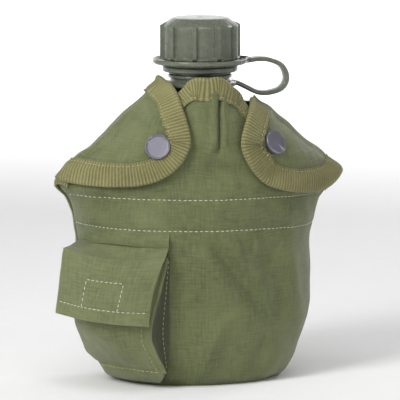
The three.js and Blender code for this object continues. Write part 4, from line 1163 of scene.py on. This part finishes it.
def thread_piece(name, profile, start_z, turns, degrees, body):
    count = int(turns * 72)
    t = np.linspace(0, 1, count)
    angle = np.radians(degrees) + t * turns * 2 * np.pi
    swell = np.clip(np.minimum(t, 1 - t) * count / 9, 0, 1) ** 0.6
    loops = []
    for r, h in profile:
        radius = lerp(profile[0][0], r, swell)
        height = start_z + PITCH * t * turns + h * lerp(0.5, 1, swell)
        loops.append(np.stack([radius * np.cos(angle), radius * np.sin(angle), height], axis=-1))
    piece = loft_piece(name, np.stack(loops, axis=1), PLASTIC)
    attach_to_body(piece, body)


RIBS = 10
RIB_PHASE = 27.5 + 3  # degrees, of the first rib's middle


def cap_shape(angle, r, h):
    """Raises ten ribs between shallow crowned panels."""
    turn = (np.degrees(angle) - RIB_PHASE) / (360 / RIBS)
    off = np.abs(turn - np.round(turn)) * 360 / RIBS
    rib = 1 - smooth(off, 2.4, 3.9)
    tall = smooth(h, 188.6, 189.8) * (1 - smooth(h, 208.6, 210.4))
    wall = (r > 18.5) * tall
    flange = (r > 20.5) * (1 - smooth(h, 189.3, 190.4)) * smooth(h, 188.2, 188.5)
    lip = (r > 20.5) * np.exp(-(((h - 208.0) / 0.7) ** 2)) * 0.35
    crown = 0.4 * np.cos(np.radians(np.clip(off, 4, 18) - 18) * 6.4)
    return r + wall * (2.0 * rib + (crown + lip) * (1 - rib)) + flange * (1.5 * (1 - rib)), h


def make_cap():
    outline = [[0, 212.95], [9, 212.95], [15.8, 212.8], [16.9, 212.4], [19.6, 210.5], [21.2, 209.3],
               [21.7, 208.7], [21.9, 208.2]]
    wall = [[21.9, z] for z in np.linspace(207.6, 188.8, 28)]
    foot = [[21.9, 188.35], [20.3, 188.2], [20.3, 185.0], [20.6, 184.7], [21.6, 184.5], [22.1, 183.9],
            [22.25, 183.0], [22.1, 181.9], [21.5, 181.25], [20.4, 181.0], [19.7, 181.1], [19.6, 181.6],
            [19.6, 200], [19.6, 209.8],
            [19.0, 210.4], [0, 210.4]]
    piece = lathe_piece("cap_ribbed", outline + wall + foot, PLASTIC, 360, shape=cap_shape,
                        sharp=30)
    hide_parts("cap")
    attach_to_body(piece, "screw_cap")
    ridge = [(19.9, -1.3), (18.0, -0.6), (18.0, 0.6), (19.9, 1.3)]
    thread_piece("cap_thread", ridge, 191.5, 1.0, 20, "screw_cap")
    gate = rounded([[0, 213.1], [1.5, 213.08], [1.9, 212.8], [0, 212.6]], 0.15)
    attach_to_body(lathe_piece("cap_moulding_gate", gate, PLASTIC, 32), "screw_cap")
    seal = rounded([[0, 208.2], [18.9, 208.2], [18.9, 210.1], [0, 210.1]], 0.4)
    gasket = lathe_piece("cap_seal", seal, RUBBER, 72)
    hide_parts("cap_gasket")
    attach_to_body(gasket, "screw_cap")


STRAP_PATH = [(29.3, 187), (35, 187.6), (42, 187), (49.8, 183.4), (53, 176), (50, 169.8), (42.5, 167.2),
              (35, 167.4), (28.5, 170.4), (23.2, 173), (19.9, 173.9)]


def make_strap():
    ring = [[20.9, 184.9], [23.5, 185.0], [27, 185.9], [27.8, 186.8], [28, 188.4], [27.6, 189.0],
            [26.9, 188.8],
            [25.7, 187.3], [21.2, 186.8], [20.9, 186.5]]

    def tab(angle, r, h):
        """The ring swells into the tab that carries the band."""
        near = np.exp(-((np.minimum(angle, 2 * np.pi - angle) / 0.19) ** 4))
        return r + near * 2.4 * (r > 24), h

    piece = lathe_piece("strap_ring_upper", rounded(ring, 0.3), PLASTIC, 180, shape=tab,
                        sharp=50)
    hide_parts("strap_cap_ring")
    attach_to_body(piece, "cap_ring")
    flat = spline([(26.5, 186.7)] + STRAP_PATH, 130)
    line = np.stack([flat[:, 0], 0 * flat[:, 0], flat[:, 1]], axis=-1)
    band = sweep_strip("strap_band", line, (0, 1, 0), 8.4, 2.5, PLASTIC, uv=False, bulge=-0.5)
    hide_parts("retaining_strap")
    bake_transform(band)
    lower = rounded([[18.1, 172.8], [21.3, 172.8], [21.3, 175], [18.1, 175]], 0.5)
    neck_ring = lathe_piece("strap_ring_lower", lower, PLASTIC, 96)
    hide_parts("retaining_strap")
    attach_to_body(neck_ring, "strap")


# ---- Belt keepers on the back -------------------------------------------------------------------------
def fillet(points, radius, steps=5):
    """An open polyline with its corners rounded."""
    p = np.array(points, float)
    out = [p[0]]
    for before, at, after in zip(p[:-2], p[1:-1], p[2:]):
        a, b = before - at, after - at
        reach = min(radius, 0.45 * np.linalg.norm(a), 0.45 * np.linalg.norm(b))
        start, end = at + a / np.linalg.norm(a) * reach, at + b / np.linalg.norm(b) * reach
        for t in np.linspace(0, 1, steps + 1):
            out.append((1 - t) ** 2 * start + 2 * t * (1 - t) * at + t * t * end)
    out.append(p[-1])
    return np.array(out)


def make_keeper(name, side):
    low, high = (np.array(v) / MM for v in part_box(f"{name}_keeper_frame"))
    x = (low[0] + high[0]) / 2
    width, steel = high[0] - low[0], 1.4
    plate, leg, lip = low[1] + steel / 2, high[1] - steel / 2, low[1] + 5.4 + steel / 2
    path = [(lip, low[2] + 8), (lip, low[2] + steel / 2), (plate, low[2] + steel / 2),
            (plate, high[2] - steel / 2), (leg, high[2] - steel / 2), (leg, low[2] + 3)]
    flat = fillet(path, 3.2)
    line = np.stack([0 * flat[:, 0] + x, flat[:, 0], flat[:, 1]], axis=-1)
    piece = sweep_strip(f"{name}_keeper_hook", line, (1, 0, 0), width, steel, KEEPER)
    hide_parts(f"{name}_keeper_frame")
    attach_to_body(piece, "root")

    low, high = (np.array(v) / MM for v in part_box(f"{name}_keeper_slide"))
    wall = 0.9
    inset = wall / 2
    corners = [(low[0] + inset, low[1] + inset), (high[0] - inset, low[1] + inset),
               (high[0] - inset, high[1] - inset), (low[0] + inset, high[1] - inset)]
    ring = rounded([(cx - x + 100, cy) for cx, cy in corners], 2.0, 5) - [100 - x, 0]
    line = np.stack([ring[:, 0], ring[:, 1], 0 * ring[:, 0] + (low[2] + high[2]) / 2], axis=-1)
    tall = high[2] - low[2]
    slide = sweep_strip(f"{name}_keeper_sleeve", line, (0, 0, 1), tall, wall, KEEPER,
                        closed=True, uv=False)
    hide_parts(f"{name}_keeper_slide")
    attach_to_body(slide, f"{name}_slide")
    make_keeper_webbing(name, x)


def make_keeper_webbing(name, x):
    low, high = (np.array(v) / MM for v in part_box(f"{name}_belt_webbing"))
    z = np.linspace(low[2], high[2], 120)
    y = skin(find_angle(z, 0, 180, lambda a: section(np.radians(a), z)[..., 0] > x), z, 1.4)[:, 1]
    line = np.stack([0 * z + x, y, z], axis=-1)
    piece = sweep_strip(f"{name}_belt_web", line, (1, 0, 0), high[0] - low[0], 1.3, WEBBING)
    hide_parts(f"{name}_belt_webbing")
    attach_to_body(piece, "root")
    runs = []
    for offset in (-10.6, 10.6):
        runs.append((line + [offset, 0.75, 0], np.tile([0.0, 1.0, 0.0], (len(line), 1))))
    stitch_piece(f"{name}_belt_web_stitches", runs, THREAD, riding("root"))
    low, high = (np.array(v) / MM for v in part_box(f"{name}_keeper_loop"))
    base, top = low[1] + 0.6, high[1] - 0.6
    flat = fillet([(low[0], base), (x - 14.4, base), (x - 13.8, top), (x + 13.8, top), (x + 14.4, base),
                   (high[0], base)], 1.0)
    flat = resample(flat, 90)
    line = np.stack([flat[:, 0], flat[:, 1], 0 * flat[:, 0] + (low[2] + high[2]) / 2], axis=-1)
    loop = sweep_strip(f"{name}_keeper_web", line, (0, 0, 1), high[2] - low[2], 1.2, WEBBING)
    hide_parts(f"{name}_keeper_loop")
    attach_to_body(loop, "root")
    z = np.linspace(low[2] + 1.5, high[2] - 1.5, 12)
    runs = []
    for at in (low[0] + 1.2, high[0] - 1.2, low[0] + 3.4, high[0] - 3.4):
        runs.append((np.stack([0 * z + at, 0 * z + base + 0.65, z], -1), np.tile([0.0, 1.0, 0.0], (12, 1))))
    stitch_piece(f"{name}_keeper_web_stitches", runs, THREAD, riding("root"), pitch=2.4)


# ---- Room, light and camera ---------------------------------------------------------------------------
def make_room():
    """A pale round sweep: a floor that curves up into a wall all round, so every side can be looked at."""
    floor, bend, high, sides = 3.4, 0.9, 3.2, 72
    arc = np.linspace(0, math.pi / 2, 14)
    profile = [(r, 0.0) for r in (0.05, 0.6, 1.4, 2.4)]
    profile += [(floor + bend * math.sin(a), bend - bend * math.cos(a)) for a in arc] + [(floor + bend, high)]
    points = [(0.0, 0.0, 0.0)]
    for r, z in profile:
        points += [(r * math.cos(a), r * math.sin(a), z) for a in 2 * np.pi * np.arange(sides) / sides]
    faces = [[0, 1 + k, 1 + (k + 1) % sides] for k in range(sides)]
    for ring in range(len(profile) - 1):
        low, up = 1 + ring * sides, 1 + (ring + 1) * sides
        faces += [[low + k, up + k, up + (k + 1) % sides, low + (k + 1) % sides] for k in range(sides)]
    mesh = bpy.data.meshes.new("sweep")
    mesh.from_pydata(points, [], faces)
    mesh.shade_smooth()
    nodes = Nodes("studio_paper", 0.9)
    grain = nodes.noise(nodes.place(False), 60, 3)
    colour = nodes.mix(between(nodes, grain, 0.0, 1.0), (0.90, 0.90, 0.90), (0.93, 0.93, 0.93))
    mesh.materials.append(nodes.finish(colour))
    sweep = bpy.data.objects.new("sweep", mesh)
    bpy.context.scene.collection.objects.link(sweep)


CAMERA_TURN = -16.0  # degrees round from the front, towards the canteen's left
CAMERA_RISE = 8.0
CAMERA_DISTANCE = 2.2
VIEW_WIDTH = 0.236  # width of the picture at the neck's axis
AIM = Vector((0.0, 0.0, 0.1046))


def make_camera():
    turn, rise = math.radians(CAMERA_TURN), math.radians(CAMERA_RISE)
    away = Vector((math.sin(turn) * math.cos(rise), -math.cos(turn) * math.cos(rise), math.sin(rise)))
    data = bpy.data.cameras.new("camera")
    data.lens = data.sensor_width * CAMERA_DISTANCE / VIEW_WIDTH
    camera = bpy.data.objects.new("camera", data)
    camera.location = AIM + away * CAMERA_DISTANCE
    camera.rotation_euler = (-away).to_track_quat("-Z", "Y").to_euler()
    bpy.context.scene.collection.objects.link(camera)
    bpy.context.scene.camera = camera


def add_light(name, turn, rise, distance, size, power, aim=AIM):
    turn, rise = math.radians(turn), math.radians(rise)
    away = Vector((math.sin(turn) * math.cos(rise), -math.cos(turn) * math.cos(rise), math.sin(rise)))
    data = bpy.data.lights.new(name, "AREA")
    data.shape = "RECTANGLE"
    data.size, data.size_y = size
    data.energy = power
    light = bpy.data.objects.new(name, data)
    light.location = AIM + away * distance
    light.rotation_euler = (aim - light.location).to_track_quat("-Z", "Y").to_euler()
    bpy.context.scene.collection.objects.link(light)


def make_lights():
    add_light("key", -58, 34, 1.5, (0.45, 0.8), 15)
    add_light("fill", 38, 18, 1.9, (0.5, 0.9), 3.2)
    add_light("top", -20, 72, 1.6, (0.8, 0.8), 5)
    add_light("rim", 118, 30, 1.6, (0.4, 0.8), 4)
    add_light("backdrop_wash", 180, 42, 2.2, (2.6, 0.8), 75, aim=Vector((1.0, 4.0, 0.2)))
    world = bpy.data.worlds.new("studio")
    world.use_nodes = True
    world.node_tree.nodes["Background"].inputs["Color"].default_value = (1.0, 1.0, 1.0, 1)
    world.node_tree.nodes["Background"].inputs["Strength"].default_value = 0.32
    bpy.context.scene.world = world
    bpy.context.scene.view_settings.view_transform = "Standard"


# ---- Everything ---------------------------------------------------------------------------------------
make_camera()
make_lights()
make_room()
front = make_front()
make_seam_stitches(front)
make_back()
make_side_seams()
make_bottom()
make_lining()
for side, name in ((-1, "left"), (1, "right")):
    make_flap(side, name)
    make_keeper(name, side)
make_snaps()
make_collar()
make_corner_bindings()
make_pocket()
make_bottle()
make_cap()
make_strap()
